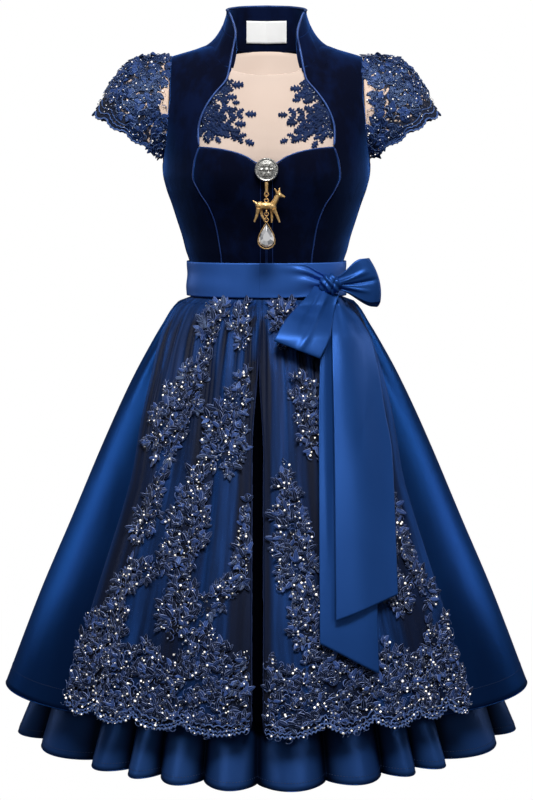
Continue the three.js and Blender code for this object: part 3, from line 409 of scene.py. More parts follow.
def sleeve(u, v):
    """The +X sleeve: u from the front of the armhole over the top to the back, v from cuff to armhole."""
    turn = mix(SLEEVE_REACH, -SLEEVE_REACH, u)
    head = armhole_point(turn)
    wave = np.abs(np.sin(u * SLEEVE_SCALLOPS * math.pi)) - 1
    scallop = SLEEVE_SCALLOP_DEPTH * wave * np.sqrt(np.clip(np.sin(math.pi * u), 0, 1))
    hem = CUFF_CENTRE + CUFF_ALONG * (CUFF_LONG * np.cos(turn))[:, None]
    hem = hem + xyz(0, -CUFF_DEEP * np.sin(turn), 0) + CUFF_OUT * scallop[:, None]
    reach = 0.46 * np.linalg.norm(head - hem, axis=-1)
    top = np.clip(np.cos(turn), 0, 1)
    first = head + xyz(reach, 0, mix(-0.06, 0.1, top) * reach)
    second = hem - CUFF_OUT * (reach * mix(1, 1.25, top))[:, None] + xyz(0, 0, 0.06 * reach * top)
    return bezier(head, first, second, hem, (1 - v)[:, None])


# ---- Skirts ----

SKIRT = Table(
    "z width front back round",
    (-353, 117.5, 84, 76, 2.3),
    (-377, 118.5, 85.5, 77.5, 2.3),
    (-385, 139, 102.5, 97, 2.25),
    (-422, 164.8, 127, 122, 2.15),
    (-461, 188, 148, 146, 2.1),
    (-500, 210, 167, 167, 2.05),
    (-539, 230, 184, 186, 2.0),
    (-617, 266, 214, 218, 1.92),
    (-735, 317, 257, 263, 1.8),
    (-854, 369, 298, 306, 1.72),
    (-1008, 429, 340, 350, 1.65),
)
# Each fold: degrees round from the front towards +X, width in degrees, and depth at the hem.
SKIRT_FOLDS = [
    (92, 9, -3), (106, 9, 6), (121, 7, -9), (135, 9, 12), (150, 7, -9),
    (164, 8, 10), (178, 7, -10), (192, 9, 12), (207, 7, -10), (222, 9, 11), (238, 7, -8), (253, 9, 6),
    (268, 9, -3),
]
UNDERSKIRT = Table(
    "z width front back round",
    (UNDERSKIRT_TOP_Z, 109, 76, 68, 2.3),
    (-379, 110, 77, 69, 2.3),
    (-422, 137, 101, 97, 2.2),
    (-620, 236, 188, 192, 1.95),
    (RUFFLE_SEAM_Z, 355, 292, 297, 1.7),
)
RUFFLE = Table(
    "z width front back round",
    (RUFFLE_TOP_Z, 355.6, 292.6, 297.6, 1.7),
    (-1034, 379.5, 317, 322, 1.67),
    (RUFFLE_HEM_Z, 396, 337, 340, 1.65),
)


def turn_between(a, b):
    return np.abs((a - b + 540) % 360 - 180)


def folds_at(angle):
    return sum(depth * bell(turn_between(angle, at), width) for at, width, depth in SKIRT_FOLDS)


def ring_point(table, angle, z, outset=0.0):
    """A point on a ring of one of the skirts, angle in degrees from the front towards +X."""
    turn = np.radians(angle)
    width, p = table.read("width", z), table.read("round", z)
    depth = np.where(np.cos(turn) > 0, table.read("front", z), table.read("back", z))
    radius = (np.abs(np.sin(turn) / width) ** p + np.abs(np.cos(turn) / depth) ** p) ** (-1 / p) + outset
    return xyz(radius * np.sin(turn), SEAM_Y - radius * np.cos(turn), z)


# The deep pleat in the middle of the apron: where it is, its half width and its depth.
PLEAT_X = -13.3
PLEAT_HALF = 10.0
PLEAT_DEPTH = 30
PLEAT_START = 0.34  # it reaches its full depth this far down the skirt


def pleat_at(x, share, half=PLEAT_HALF, edge=2.6):
    """How deep the middle pleat goes at x, from 0 to 1; share is 0 at the waist and 1 at the hem."""
    narrow = half - PLEAT_HALF + PLEAT_HALF * mix(0.3, 1, ease((share - 0.18) / 0.2))
    middle = PLEAT_X + 4 * (1 - ease(share / 0.3))
    across = 1 - ease((np.abs(x - middle) - narrow + edge) / edge)
    return across * ease((share - 0.03) / (PLEAT_START - 0.03))


SKIRT_LIFT = 26  # how much higher the hem is in front
SKIRT_GATHERS = 24
SKIRT_PUCKERS = 61


def skirt(u, v):
    angle, share = 360 * u, 1 - v
    lift = SKIRT_LIFT * bell(turn_between(angle, 0), 45)
    z = mix(WAIST_SEAM_Z - 1.3, SKIRT_HEM_Z + lift, share)
    gather = 1.6 * np.sin(np.radians(angle * SKIRT_GATHERS)) * bell(share - 0.16, 0.1)
    puckers = np.sin(np.radians(angle * SKIRT_PUCKERS + 40 * np.sin(np.radians(angle * 5))))
    fine = 1.1 * puckers * bell(share - 0.07, 0.07)
    out = folds_at(angle) * ease(share * 1.15) + gather + fine
    point = ring_point(SKIRT, angle, z, out)
    front = point[:, 1] < SEAM_Y
    room = pleat_at(point[:, 0], share, PLEAT_HALF + 9, 9) * front
    return point + xyz(0, (PLEAT_DEPTH + 4) * room, 0)


def underskirt(u, v):
    return ring_point(UNDERSKIRT, 360 * u, mix(RUFFLE_SEAM_Z, UNDERSKIRT_TOP_Z, v))


# Where the valleys between the ruffle's pipes are, in degrees from the front towards +X: first those in
# front, from the wearer's right to the left, then those behind.
RUFFLE_START, RUFFLE_SIDE = -77, 80
RUFFLE_VALLEYS = [RUFFLE_START, -53.5, -40.5, -30.5, -17.5, -2.5, 16.5, 33.5, 44, 54.5, RUFFLE_SIDE]
RUFFLE_VALLEYS += [RUFFLE_SIDE + 14.5 * k + 2 * math.sin(2.7 * k) for k in range(1, 14)]
RUFFLE_VALLEYS += [RUFFLE_START + 360]
RUFFLE_WAVE_DEPTH = 17
RUFFLE_PIPE_POWER = 0.72  # below 1 it makes ridges broad and valleys narrow
RUFFLE_PUCKERS = 118


def ruffle_pipe(u):
    """1 on the broad ridge of each pipe of the ruffle, and 0 between two pipes."""
    angle = (360 * u - RUFFLE_START) % 360 + RUFFLE_START
    pipe = np.interp(angle, RUFFLE_VALLEYS, np.arange(len(RUFFLE_VALLEYS)))
    return np.abs(np.sin(math.pi * pipe)) ** RUFFLE_PIPE_POWER


def ruffle(u, v):
    z = mix(RUFFLE_HEM_Z, RUFFLE_TOP_Z, v)
    pipe = ruffle_pipe(u)
    wave = RUFFLE_WAVE_DEPTH * (2 * pipe - 1.25) * (1 - 0.75 * v)
    puckers = np.sin(2 * math.pi * RUFFLE_PUCKERS * u + 3 * np.sin(2 * math.pi * 7 * u))
    fine = 0.8 * puckers * ease((v - 0.55) / 0.4)
    return ring_point(RUFFLE, 360 * u, z - 3 * pipe * (1 - v), wave + fine)


def ruffle_painted_shade(u, v):
    """Painted shade for the ruffle: how deep between two pipes of the ruffle a place is, which darkens the
    satin there.
    """
    return np.clip(1.25 * bell(ruffle_pipe(u), 0.55), 0, 1) * mix(0.97, 0.9, v)


# ---- Apron ----

APRON_SPREAD = Table(
    "share half", (0, 76), (0.04, 74), (0.2, 61), (0.31, 57), (0.47, 53), (0.64, 54), (1, 56.5)
)
APRON_GATHERS = 15
APRON_FOLDS = 4.55
APRON_FOLD_DEPTH = 11
APRON_PUCKERS = 52
APRON_NOTCHES = np.array([0, 0.085, 0.19, 0.31, 0.47, 0.63, 0.745, 0.86, 0.94, 1])
APRON_SCALLOP_DEPTH = 15


def apron_scallop(u):
    k = np.clip(np.searchsorted(APRON_NOTCHES, u) - 1, 0, len(APRON_NOTCHES) - 2)
    share = (u - APRON_NOTCHES[k]) / (APRON_NOTCHES[k + 1] - APRON_NOTCHES[k])
    return APRON_SCALLOP_DEPTH * (1 - np.sin(math.pi * np.clip(share, 0, 1)) ** 0.7)


def apron_waves(u, share):
    """The gathers at the waist, which open into broad folds: 1 on a ridge and 0 in a valley."""
    gathers = 0.5 + 0.5 * np.cos(2 * math.pi * (APRON_GATHERS * u + 0.3 * np.sin(u * 17)))
    turn = 2 * math.pi * (APRON_FOLDS * u + 0.407 + 0.05 * np.sin(share * 5 + u * 9))
    folds = 0.5 + 0.36 * np.cos(turn) + 0.14 * np.cos(2 * turn + 0.7)
    return mix(gathers, folds, 0.8 * ease((share - 0.03) / 0.2))


def apron(u, v):
    share = 1 - v
    angle = (2 * u - 1) * APRON_SPREAD.read("half", share)
    z = mix(APRON_HEM_Z + apron_scallop(u) + 4 * np.abs(2 * u - 1) ** 3, APRON_TOP_Z, v)
    down = (WAIST_SEAM_Z - z) / (WAIST_SEAM_Z - SKIRT_HEM_Z)
    gather = apron_waves(u, share)
    depth = APRON_FOLD_DEPTH * ease(share * 5) * mix(1, 0.85, share)
    puckers = np.cos(2 * math.pi * (APRON_PUCKERS * u + 0.8 * np.sin(u * 29)))
    fine = 1.3 * puckers * ease(share * 12) * (1 - ease(share * 2.2))
    out = mix(3, 5, ease(share * 9)) + depth * gather + fine
    point = ring_point(SKIRT, angle, z, out + folds_at(angle % 360) * ease(1.15 * down))
    return point + xyz(0, PLEAT_DEPTH * pleat_at(point[:, 0], down), 0)


# ---- Sash and bow ----

SASH_RING = Table("z width front back round", (-400, 126.4, 94, 85.5, 2.3), (-300, 126.4, 94, 85.5, 2.3))
SASH_FLARE = 1.4


def sash(u, v):
    angle = 360 * u
    crease = 0.7 * np.sin(v * 9 + 1.3 * np.sin(np.radians(angle * 2 + 30))) * np.sin(np.radians(angle)) ** 2
    return ring_point(SASH_RING, angle, mix(SASH_BOTTOM_Z, SASH_TOP_Z, v), SASH_FLARE * (1 - v) + crease)


# The ply that runs from the front into the knot: its top and bottom edge at some x, and its pleats.
WRAP_START, WRAP_END = -10, 92
WRAP_LEVEL = -340.0  # the height whose ring gives the angle round the waist
WRAP = Table(
    "x top bottom pleats",
    (WRAP_START, SASH_TOP_Z - 0.4, SASH_BOTTOM_Z + 0.4, 0),
    (30, SASH_TOP_Z - 0.6, SASH_BOTTOM_Z + 0.6, 0.4),
    (52, SASH_TOP_Z - 2, SASH_BOTTOM_Z + 1.2, 1.6),
    (72, SASH_TOP_Z - 13, SASH_BOTTOM_Z + 4, 2.6),
    (WRAP_END, SASH_TOP_Z - 26, SASH_BOTTOM_Z + 12, 2.2),
)


def wrap(u, v):
    x = mix(WRAP_START, WRAP_END, u)
    z = mix(WRAP.read("bottom", x), WRAP.read("top", x), v)
    angle = np.degrees(body_angle(x, np.full_like(x, WRAP_LEVEL), "front")) * np.sign(x)
    pleat = np.cos(2 * math.pi * (2.6 * v + 0.25 * np.sin(5 * v + 3 * u))) * WRAP.read("pleats", x)
    swell = 2.5 * np.sin(math.pi * v) ** 0.5 * ease((x - 30) / 50)
    out = 0.2 + 1.8 * ease((x + 8) / 30) + swell + pleat + 2.2 * ease((x - 20) / 70)
    return ring_point(SASH_RING, angle, z, SASH_FLARE * (SASH_TOP_Z - z) / (SASH_TOP_Z - SASH_BOTTOM_Z) + out)


KNOT = {"x": 99, "y": -85, "z": -354, "radius": 17}
APRON_DEPTH = 21
SPRING_Z = -385


def cover_front(x, z):
    """How far in front of the side seams the skirt with its apron reaches."""
    at = np.minimum(z, SPRING_Z)
    p = SKIRT.read("round", at)
    inside = np.maximum(0, 1 - (np.abs(x) / SKIRT.read("width", at)) ** p)
    reach = SKIRT.read("front", at) * inside ** (1 / p)
    return reach + mix(5, APRON_DEPTH, ease((SPRING_Z - z) / 50)) - SEAM_Y


def loop(tip, half, root, bulge, clearance, lift, sag, creases, rounding=0.0):
    """A loop of ribbon, from the knot along its front ply to the tip (u 0.5) and back along its hind ply."""
    axis = np.array([tip[0] - KNOT["x"], tip[1] - KNOT["z"]])
    start = np.array([KNOT["x"], KNOT["z"]]) + axis * (KNOT["radius"] - 6) / np.linalg.norm(axis)
    axis = axis / np.linalg.norm(axis)

    def surface(u, v):
        turn = 2 * math.pi * u
        reach = (1 - np.cos(turn)) / 2
        hind = ease((u - 0.5) / 0.1)
        spread = mix(root, 1, ease(reach * 1.25)) * (2 * v - 1)
        rounded = rounding * (1 - (2 * v - 1) ** 2) * ease(reach)
        x = mix(start[0], tip[0], reach) + half[0] * spread + rounded * axis[0]
        z = mix(start[1], tip[1], reach) + half[1] * spread - sag * hind * (1 - v) * reach + rounded * axis[1]
        resting = KNOT["y"] + lift * reach
        if clearance is not None:
            resting = -(cover_front(x, z) + clearance)
        free = KNOT["y"] + lift * reach
        crease = 3 * np.cos(2.5 * math.pi * (v - 0.5)) * (1 - ease(reach * 1.4))
        crease = crease + sum(
            deep * bell(v - at - slope * reach, wide) * ease(reach * 4) * (1 - ease((reach - end) / 0.3))
            for at, slope, wide, deep, end in creases
        )
        bow = bulge * np.sin(turn) * mix(0.6, 1, reach) + crease
        return xyz(x, mix(free, resting, ease(reach * 1.6)) - bow, z)

    return surface


outer_loop = loop(
    tip=(169, -348), half=(-9, 34), root=0.3, bulge=12, clearance=None, lift=16, sag=9, rounding=7,
    creases=[(0.42, 0.1, 0.05, -3.4, 0.75), (0.62, 0.12, 0.06, 2.6, 0.6), (0.25, 0.02, 0.05, 2.0, 0.5)],
)
lower_loop = loop(
    tip=(46, -448), half=(35, -13.5), root=0.56, bulge=6, clearance=19, lift=-60, sag=0,
    creases=[(0.6, -0.05, 0.07, 2.6, 0.9), (0.3, 0.1, 0.06, -2.2, 0.5)],
)


def tail(edges, clearance, fold, slant, spring, creases):
    """A tail of ribbon hanging from the knot in front of the apron."""
    top, bottom = edges.columns["z"][-1], edges.columns["z"][0]

    def surface(u, v):
        level = mix(bottom, top, v)
        x = mix(edges.read("left", level), edges.read("right", level), u)
        z = level + slant * (u - 0.5) * (1 - ease(v * 1.6))
        roll = fold * np.sin(2 * math.pi * (u - 0.1)) * mix(0.6, 1, v)
        ridge = sum(
            deep * bell(u - at - slope * (1 - v), wide) * ease((v - low) / 0.25)
            for at, slope, wide, deep, low in creases
        )
        away = cover_front(x, z) + clearance + roll + ridge + spring * ease((v - 0.88) / 0.12)
        return xyz(x, -away, z)

    return surface


front_tail = tail(
    Table(
        "z left right",
        (-375, 103, 120), (-423, 100.5, 155), (-444, 100.5, 165), (-546, 101.5, 182), (-611, 102, 192),
        (-824, 102.5, 197),
    ),
    clearance=14, fold=3.5, slant=28, spring=-3,
    creases=[(0.5, 0.9, 0.16, 4.0, 0.72), (0.25, 0.3, 0.1, -2.5, 0.8), (0.75, 0.1, 0.08, -2.0, 0.75)],
)
back_tail = tail(
    Table(
        "z left right",
        (-380, 99.5, 117), (-418, 98.5, 133), (-447, 86, 142), (-464, 82, 148), (-560, 79, 158),
        (-760, 78.5, 164), (-895, 78.5, 167),
    ),
    clearance=3, fold=-2.5, slant=-50, spring=0,
    creases=[(0.12, 0.0, 0.08, 2.0, 0.1)],
)

# ---- Meshes ----


def new_piece(name, mesh, material):
    piece = bpy.data.objects.new(name, mesh)
    bpy.context.scene.collection.objects.link(piece)
    mesh.materials.append(material)
    mesh.polygons.foreach_set("use_smooth", [True] * len(mesh.polygons))
    return piece


def mesh_of(name, bm):
    """A new mesh with what a bmesh holds. The bmesh is used up."""
    mesh = bpy.data.meshes.new(name)
    bm.to_mesh(mesh)
    bm.free()
    return mesh


def change_mesh(mesh, change):
    bm = bmesh.new()
    bm.from_mesh(mesh)
    change(bm)
    bm.to_mesh(mesh)
    bm.free()


def read_all(items, key, kind=np.int32, per_item=1):
    """One property of all the items of a collection, as an array."""
    values = np.empty(len(items) * per_item, kind)
    items.foreach_get(key, values)
    return values


def points_of(mesh):
    return read_all(mesh.vertices, "co", np.float32, 3).reshape(-1, 3).astype(float)


def set_uv(mesh, uv):
    """Gives each corner of each face the uv of its point."""
    corner = read_all(mesh.loops, "vertex_index")
    layer = mesh.uv_layers.new(name="cloth")
    layer.uv.foreach_set("vector", uv[corner].astype(np.float32).ravel())


def set_attribute(mesh, name, values):
    attribute = mesh.attributes.new(name, "FLOAT", "POINT")
    attribute.data.foreach_set("value", np.asarray(values, np.float32))


def merge_doubles(mesh, distance=1e-6):
    change_mesh(mesh, lambda bm: bmesh.ops.remove_doubles(bm, verts=bm.verts, dist=distance))


def shaped_grid(name, surface, columns, rows, material, merge=False, marks=None):
    """A grid whose points are moved onto a surface, with u and v kept as its UV map."""
    bm = bmesh.new()
    bmesh.ops.create_grid(bm, x_segments=columns, y_segments=rows, size=0.5)
    mesh = mesh_of(name, bm)
    uv = points_of(mesh)[:, :2] + 0.5
    mesh.vertices.foreach_set("co", (surface(uv[:, 0], uv[:, 1]) * MM).astype(np.float32).ravel())
    set_uv(mesh, uv)
    for key, mark in (marks or {}).items():
        set_attribute(mesh, key, mark(uv[:, 0], uv[:, 1]))
    if merge:
        merge_doubles(mesh)
    mesh.update()
    return new_piece(name, mesh, material)


def thicken(piece, thickness, offset=0.0):
    wall = piece.modifiers.new("wall", "SOLIDIFY")
    wall.thickness = thickness * MM
    wall.offset = offset
    return piece


def settle(piece, slot, replaced=()):
    """Puts a piece on the dress's one body and hides the solids that it stands for. The slot is not used."""
    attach(piece, "root")
    if replaced:
        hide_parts(*replaced)
    return piece


def row_length(surface, across, n=241):
    """The longest line over the surface, across it or up it, in metres."""
    t = np.linspace(0, 1, n)
    best = 0.0
    for s in np.linspace(0.01, 0.99, 13):
        other = np.full_like(t, s)
        line = surface(t, other) if across else surface(other, t)
        best = max(best, np.linalg.norm(np.diff(line, axis=0), axis=1).sum())
    return best * MM


def declare(piece, surface, held, rests_on):
    """Measures a piece of cloth's widest and longest lines and its faces' areas, and keeps none of them."""
    width = row_length(surface, True, 961)
    length = row_length(surface, False)
    faces = read_all(piece.data.polygons, "area", np.float32)


def cloth(name, surface, grid, material, thickness, slot, node, held, rests_on=(), closed=False, marks=None):
    piece = shaped_grid(name, surface, *grid, material, merge=closed, marks=marks)
    declare(piece, surface, held, list(rests_on))
    thicken(piece, thickness)
    return settle(piece, slot, (node,))


def tube_surface(points, radius, outwards=None):
    """A round cord through points. It closes to a point at each end."""
    points = np.asarray(points, float)

    def surface(u, v):
        centre = along(points, v)
        ahead = unit(along(points, np.clip(v + 2e-3, 0, 1)) - along(points, np.clip(v - 2e-3, 0, 1)))
        away = outwards if outwards is not None else centre - xyz(0, SEAM_Y, centre[:, 2])
        side = unit(away - ahead * np.sum(away * ahead, -1, keepdims=True))
        across = np.cross(ahead, side)
        turn = 2 * math.pi * u
        taper = np.sqrt(np.clip(1 - (2 * v - 1) ** 40, 0, 1))
        ring = side * np.cos(turn)[:, None] - across * np.sin(turn)[:, None]
        return centre + ring * (radius * taper)[:, None]

    return surface


def cord(name, points, radius, steps, material, sides=10, outwards=None):
    return shaped_grid(name, tube_surface(points, radius, outwards), sides, steps, material, merge=True)


def join(name, pieces):
    """Makes one piece of several meshes that share materials."""
    with bpy.context.temp_override(
        active_object=pieces[0], selected_editable_objects=pieces, selected_objects=pieces
    ):
        bpy.ops.object.join()
    pieces[0].name = name
    pieces[0].data.name = name
    return pieces[0]


# ---- Many small things in one mesh ----


def template_of(make):
    """A small closed shape from a bmesh, as arrays that can be repeated; across runs over its width."""
    bm = bmesh.new()
    across = make(bm)
    bmesh.ops.recalc_face_normals(bm, faces=bm.faces)
    mesh = mesh_of("template", bm)
    corners = read_all(mesh.loops, "vertex_index")
    starts = read_all(mesh.polygons, "loop_start")
    points = points_of(mesh)
    bpy.data.meshes.remove(mesh)
    uv = points[:, :2] / 2 + 0.5
    if across:
        uv[:, 0] = np.array(across) / 2 + 0.5
    return {"points": points, "corners": corners, "starts": starts, "uv": uv}


def scatter(name, template, spots, right, up, out, size, material, shade=None):
    """One mesh with a copy of a template at each spot, turned by three directions and sized."""
    count, per = len(spots), len(template["points"])
    p = template["points"]
    size = np.broadcast_to(np.asarray(size, float), (count, 3))
    local = p[None] * size[:, None, :]
    points = spots[:, None] + local[..., :1] * right[:, None] + local[..., 1:2] * up[:, None]
    points = (points + local[..., 2:] * out[:, None]).reshape(-1, 3) * MM
    corners = (template["corners"][None] + np.arange(count)[:, None] * per).ravel()
    starts = (template["starts"][None] + np.arange(count)[:, None] * len(template["corners"])).ravel()
    mesh = bpy.data.meshes.new(name)
    mesh.vertices.add(len(points))
    mesh.vertices.foreach_set("co", points.astype(np.float32).ravel())
    mesh.loops.add(len(corners))
    mesh.loops.foreach_set("vertex_index", corners.astype(np.int32))
    mesh.polygons.add(len(starts))
    mesh.polygons.foreach_set("loop_start", starts.astype(np.int32))
    mesh.update(calc_edges=True)
    set_uv(mesh, np.tile(template["uv"], (count, 1)))
    shade = random.random(count) if shade is None else shade
    set_attribute(mesh, "shade", np.repeat(shade, per))
    return new_piece(name, mesh, material)


def leaf_shape(bm):
    """A pointed leaf of unit half length and half width, cupped, with its tip bent up."""
    bmesh.ops.create_uvsphere(bm, u_segments=8, v_segments=5, radius=1)
    across = []
    for vert in bm.verts:
        x, y, z = vert.co.x, vert.co.z, vert.co.y
        across.append(x / max(1e-3, math.hypot(x, z)))
        narrow = (1 - 0.2 * y) * (1 - 0.4 * max(0.0, y) ** 2)
        vert.co = (x * narrow, y, 0.5 * z + 0.5 * y * y + 0.45 * x * x)
    return across


LOBES = 3.4


def lobed_leaf_shape(bm):
    """An oak-like leaf of unit length from its stalk at y 0, with rounded lobes that point forwards."""
    bmesh.ops.create_grid(bm, x_segments=6, y_segments=18, size=0.5)
    across = []
    for vert in bm.verts:
        s, t = 2 * vert.co.x, vert.co.y + 0.5
        lobe = 0.66 + 0.34 * math.cos(2 * math.pi * (LOBES * t + 0.12))
        full = 0.42 * math.sin(math.pi * min(1, 0.04 + 0.96 * t) ** 0.85) ** 0.6
        half = full * mix(lobe, 1, 0.12)
        across.append(s)
        vert.co = (s * half, t + 0.10 * abs(s) * lobe, 0.07 * (1 - abs(s)) - 0.05 * s * s + 0.05 * t * t)
    base = list(bm.faces)
    bmesh.ops.solidify(bm, geom=base, thickness=0.05)
    return across + across


CURL_TURN = 0.9 * math.pi
CURL_LIFT = 3.4


def curl_shape(bm):
    """A bent cord that turns by nearly half a ring, drawn in from unit radius."""
    bmesh.ops.create_grid(bm, x_segments=3, y_segments=8, size=0.5)
    for vert in bm.verts:
        around, t = 2 * math.pi * (vert.co.x + 0.5), vert.co.y + 0.5
        thick = 0.11 * math.sin(math.pi * mix(0.06, 0.94, t)) ** 0.5
        turn = CURL_TURN * t
        radius = mix(1, 0.55, t) + thick * math.cos(around)
        vert.co = (radius * math.cos(turn), radius * math.sin(turn), thick * math.sin(around))
    bmesh.ops.remove_doubles(bm, verts=bm.verts, dist=1e-4)
    bmesh.ops.holes_fill(bm, edges=bm.edges)


def bead_shape(bm):
    bmesh.ops.create_icosphere(bm, subdivisions=1, radius=1)


def stitch_shape(bm):
    """A short stitch along y, a lozenge in section."""
    bmesh.ops.create_uvsphere(bm, u_segments=4, v_segments=4, radius=1)
    for vert in bm.verts:
        vert.co = (vert.co.x, vert.co.z, vert.co.y)


LEAF = template_of(leaf_shape)
BEAD = template_of(bead_shape)
STITCH = template_of(stitch_shape)
LOBED_LEAF = template_of(lobed_leaf_shape)
CURL = template_of(curl_shape)


def thinned(points, spacing):
    """Which of some points to keep so that one is left in each cell of that size."""
    cell = np.floor(points / spacing).astype(np.int64)
    _, first = np.unique(cell, axis=0, return_index=True)
    return np.sort(first)


def stitches(name, surface, line, length, gap, material, lift=0.8, width=0.5):
    """A row of stitches along line(t) = (u, v) over a surface."""
    t = np.linspace(0, 1, 2400)
    u, v = line(t)
    walked = np.concatenate([[0], np.cumsum(np.linalg.norm(np.diff(surface(u, v), axis=0), axis=1))])
    count = max(2, int(walked[-1] / (length + gap)))
    at = np.interp((np.arange(count) + 0.5) / count * walked[-1], walked, t)
    (u, v), (u1, v1) = line(at), line(at + 1e-3)
    spot, _, _, out = frame_on(surface, u, v)
    ahead = unit(surface(u1, v1) - spot)
    size = np.array([width, length / 2, 0.4])
    return scatter(name, STITCH, spot + out * lift, np.cross(ahead, out), ahead, out, size, material)


# ---- Materials ----


def shaded(colour, by):
    return tuple(by * c for c in colour[:3]) + (1,)


class Recipe:
    """A material that is built from nodes around one principled shader."""

    def __init__(self, name, **sockets):
        self.material = bpy.data.materials.new(name)
        self.material.use_nodes = True
        self.tree = self.material.node_tree
        self.shader = next(n for n in self.tree.nodes if n.type == "BSDF_PRINCIPLED")
        for socket, value in sockets.items():
            self.shader.inputs[socket.replace("_", " ")].default_value = value

    def node(self, kind, settings=(), **inputs):
        made = self.tree.nodes.new("ShaderNode" + kind)
        for key, value in dict(settings).items():
            setattr(made, key, value)
        for socket, value in inputs.items():
            self.put(value, made.inputs[socket.replace("_", " ")])
        return made

    def put(self, value, socket):
        if isinstance(value, bpy.types.NodeSocket):
            self.tree.links.new(value, socket)
        else:
            socket.default_value = value

    def to_shader(self, **inputs):
        for socket, value in inputs.items():
            self.put(value, self.shader.inputs[socket.replace("_", " ")])

    def place(self, scale=(1, 1, 1), uv=False):
        """Object coordinates in metres, or the cloth's own u and v, stretched by a scale."""
        source = self.node("UVMap", {"uv_map": "cloth"}).outputs["UV"] if uv else None
        source = source or self.node("TexCoord").outputs["Object"]
        return self.node("Mapping", Vector=source, Scale=scale).outputs["Vector"]

    def noise(self, scale, detail=3.0, vector=None, roughness=0.5, distortion=0.0):
        made = self.node("TexNoise", Scale=scale, Detail=detail, Roughness=roughness, Distortion=distortion)
        self.put(vector or self.place(), made.inputs["Vector"])
        return made.outputs["Fac"]

    def wave(self, scale, vector, distortion=0.0):
        made = self.node("TexWave", Scale=scale, Distortion=distortion, Detail=2.0)
        self.put(vector, made.inputs["Vector"])
        return made.outputs["Fac"]

    def attribute(self, name):
        return self.node("Attribute", {"attribute_name": name}).outputs["Fac"]

    def span(self, value, low, high, to_low=0.0, to_high=1.0):
        made = self.node("MapRange", {"interpolation_type": "SMOOTHSTEP"})
        for socket, number in (("Value", value), ("From Min", low), ("From Max", high)):
            self.put(number, made.inputs[socket])
        made.inputs["To Min"].default_value = to_low
        made.inputs["To Max"].default_value = to_high
        return made.outputs["Result"]

    def math(self, operation, a, b=0.0):
        made = self.node("Math", {"operation": operation})
        self.put(a, made.inputs[0])
        self.put(b, made.inputs[1])
        return made.outputs["Value"]

    def blend(self, share, a, b):
        made = self.node("Mix", {"data_type": "RGBA"})
        self.put(share, made.inputs[0])
        self.put(a, made.inputs[6])
        self.put(b, made.inputs[7])
        return made.outputs[2]

    def bump(self, height, distance, strength=1.0, under=None):
        made = self.node("Bump", Height=height, Distance=distance, Strength=strength)
        if under is not None:
            self.put(under, made.inputs["Normal"])
        return made.outputs["Normal"]


NET_WEAVE = 700  # how fine each weave is, as the scale of its wave
LABEL_WEAVE = 900
SATIN_WEAVE = 420
PIPING_WEAVE = 300
STITCH_WEAVE = 260


def velvet_material():
    r = Recipe(
        "midnight_velvet", Roughness=0.9, Specular_IOR_Level=0.08, Sheen_Weight=1.0, Sheen_Roughness=0.34,
        Sheen_Tint=(0.055, 0.20, 0.72, 1),
    )
    nap = r.noise(24, 4.0, r.place((1, 1, 0.5)), 0.62)
    pile = r.noise(800, 2.0)
    rubbed = r.span(nap, 0.42, 0.66)
    facing = r.node("LayerWeight", Blend=0.3).outputs["Facing"]
    base = r.blend(rubbed, (0.0005, 0.0016, 0.011, 1), (0.0012, 0.0052, 0.031, 1))
    # Painted sheen: the base colour turns a brighter blue where the velvet faces away, towards its outlines.
    edge = r.blend(rubbed, (0.003, 0.024, 0.125, 1), (0.012, 0.070, 0.30, 1))
    base = r.blend(r.span(facing, 0.18, 1.0), base, edge)
    r.to_shader(Base_Color=base)
    r.to_shader(Normal=r.bump(pile, 0.0004, 0.5, r.bump(nap, 0.003, 0.4)))
    return r.material


def satin_material(name, colour, bright, roughness, metallic):
    r = Recipe(
        name, Metallic=metallic, Roughness=roughness, Specular_IOR_Level=0.35, Anisotropic=0.4,
        Specular_Tint=(0.35, 0.55, 1.0, 1),
    )
    soft = r.noise(5.5, 3.0, r.place((1, 1, 0.35)), 0.5)
    cloudy = r.span(soft, 0.3, 0.7)
    base = r.blend(cloudy, colour, bright)
    # Painted shade: where a piece carries the valley mark, the satin darkens nearly to black in its valleys.
    base = r.blend(r.attribute("valley"), base, shaded(colour, 0.06))
    r.to_shader(Base_Color=base)
    threads = r.wave(SATIN_WEAVE, r.place(), 1.5)
    ripple = r.noise(14, 2.0, r.place((1, 1, 0.3)), 0.45)
    r.to_shader(Normal=r.bump(threads, 0.0001, 0.25, r.bump(ripple, 0.004, 0.2)))
    r.to_shader(Roughness=r.span(soft, 0.2, 0.8, roughness - 0.04, roughness + 0.06))
    return r.material


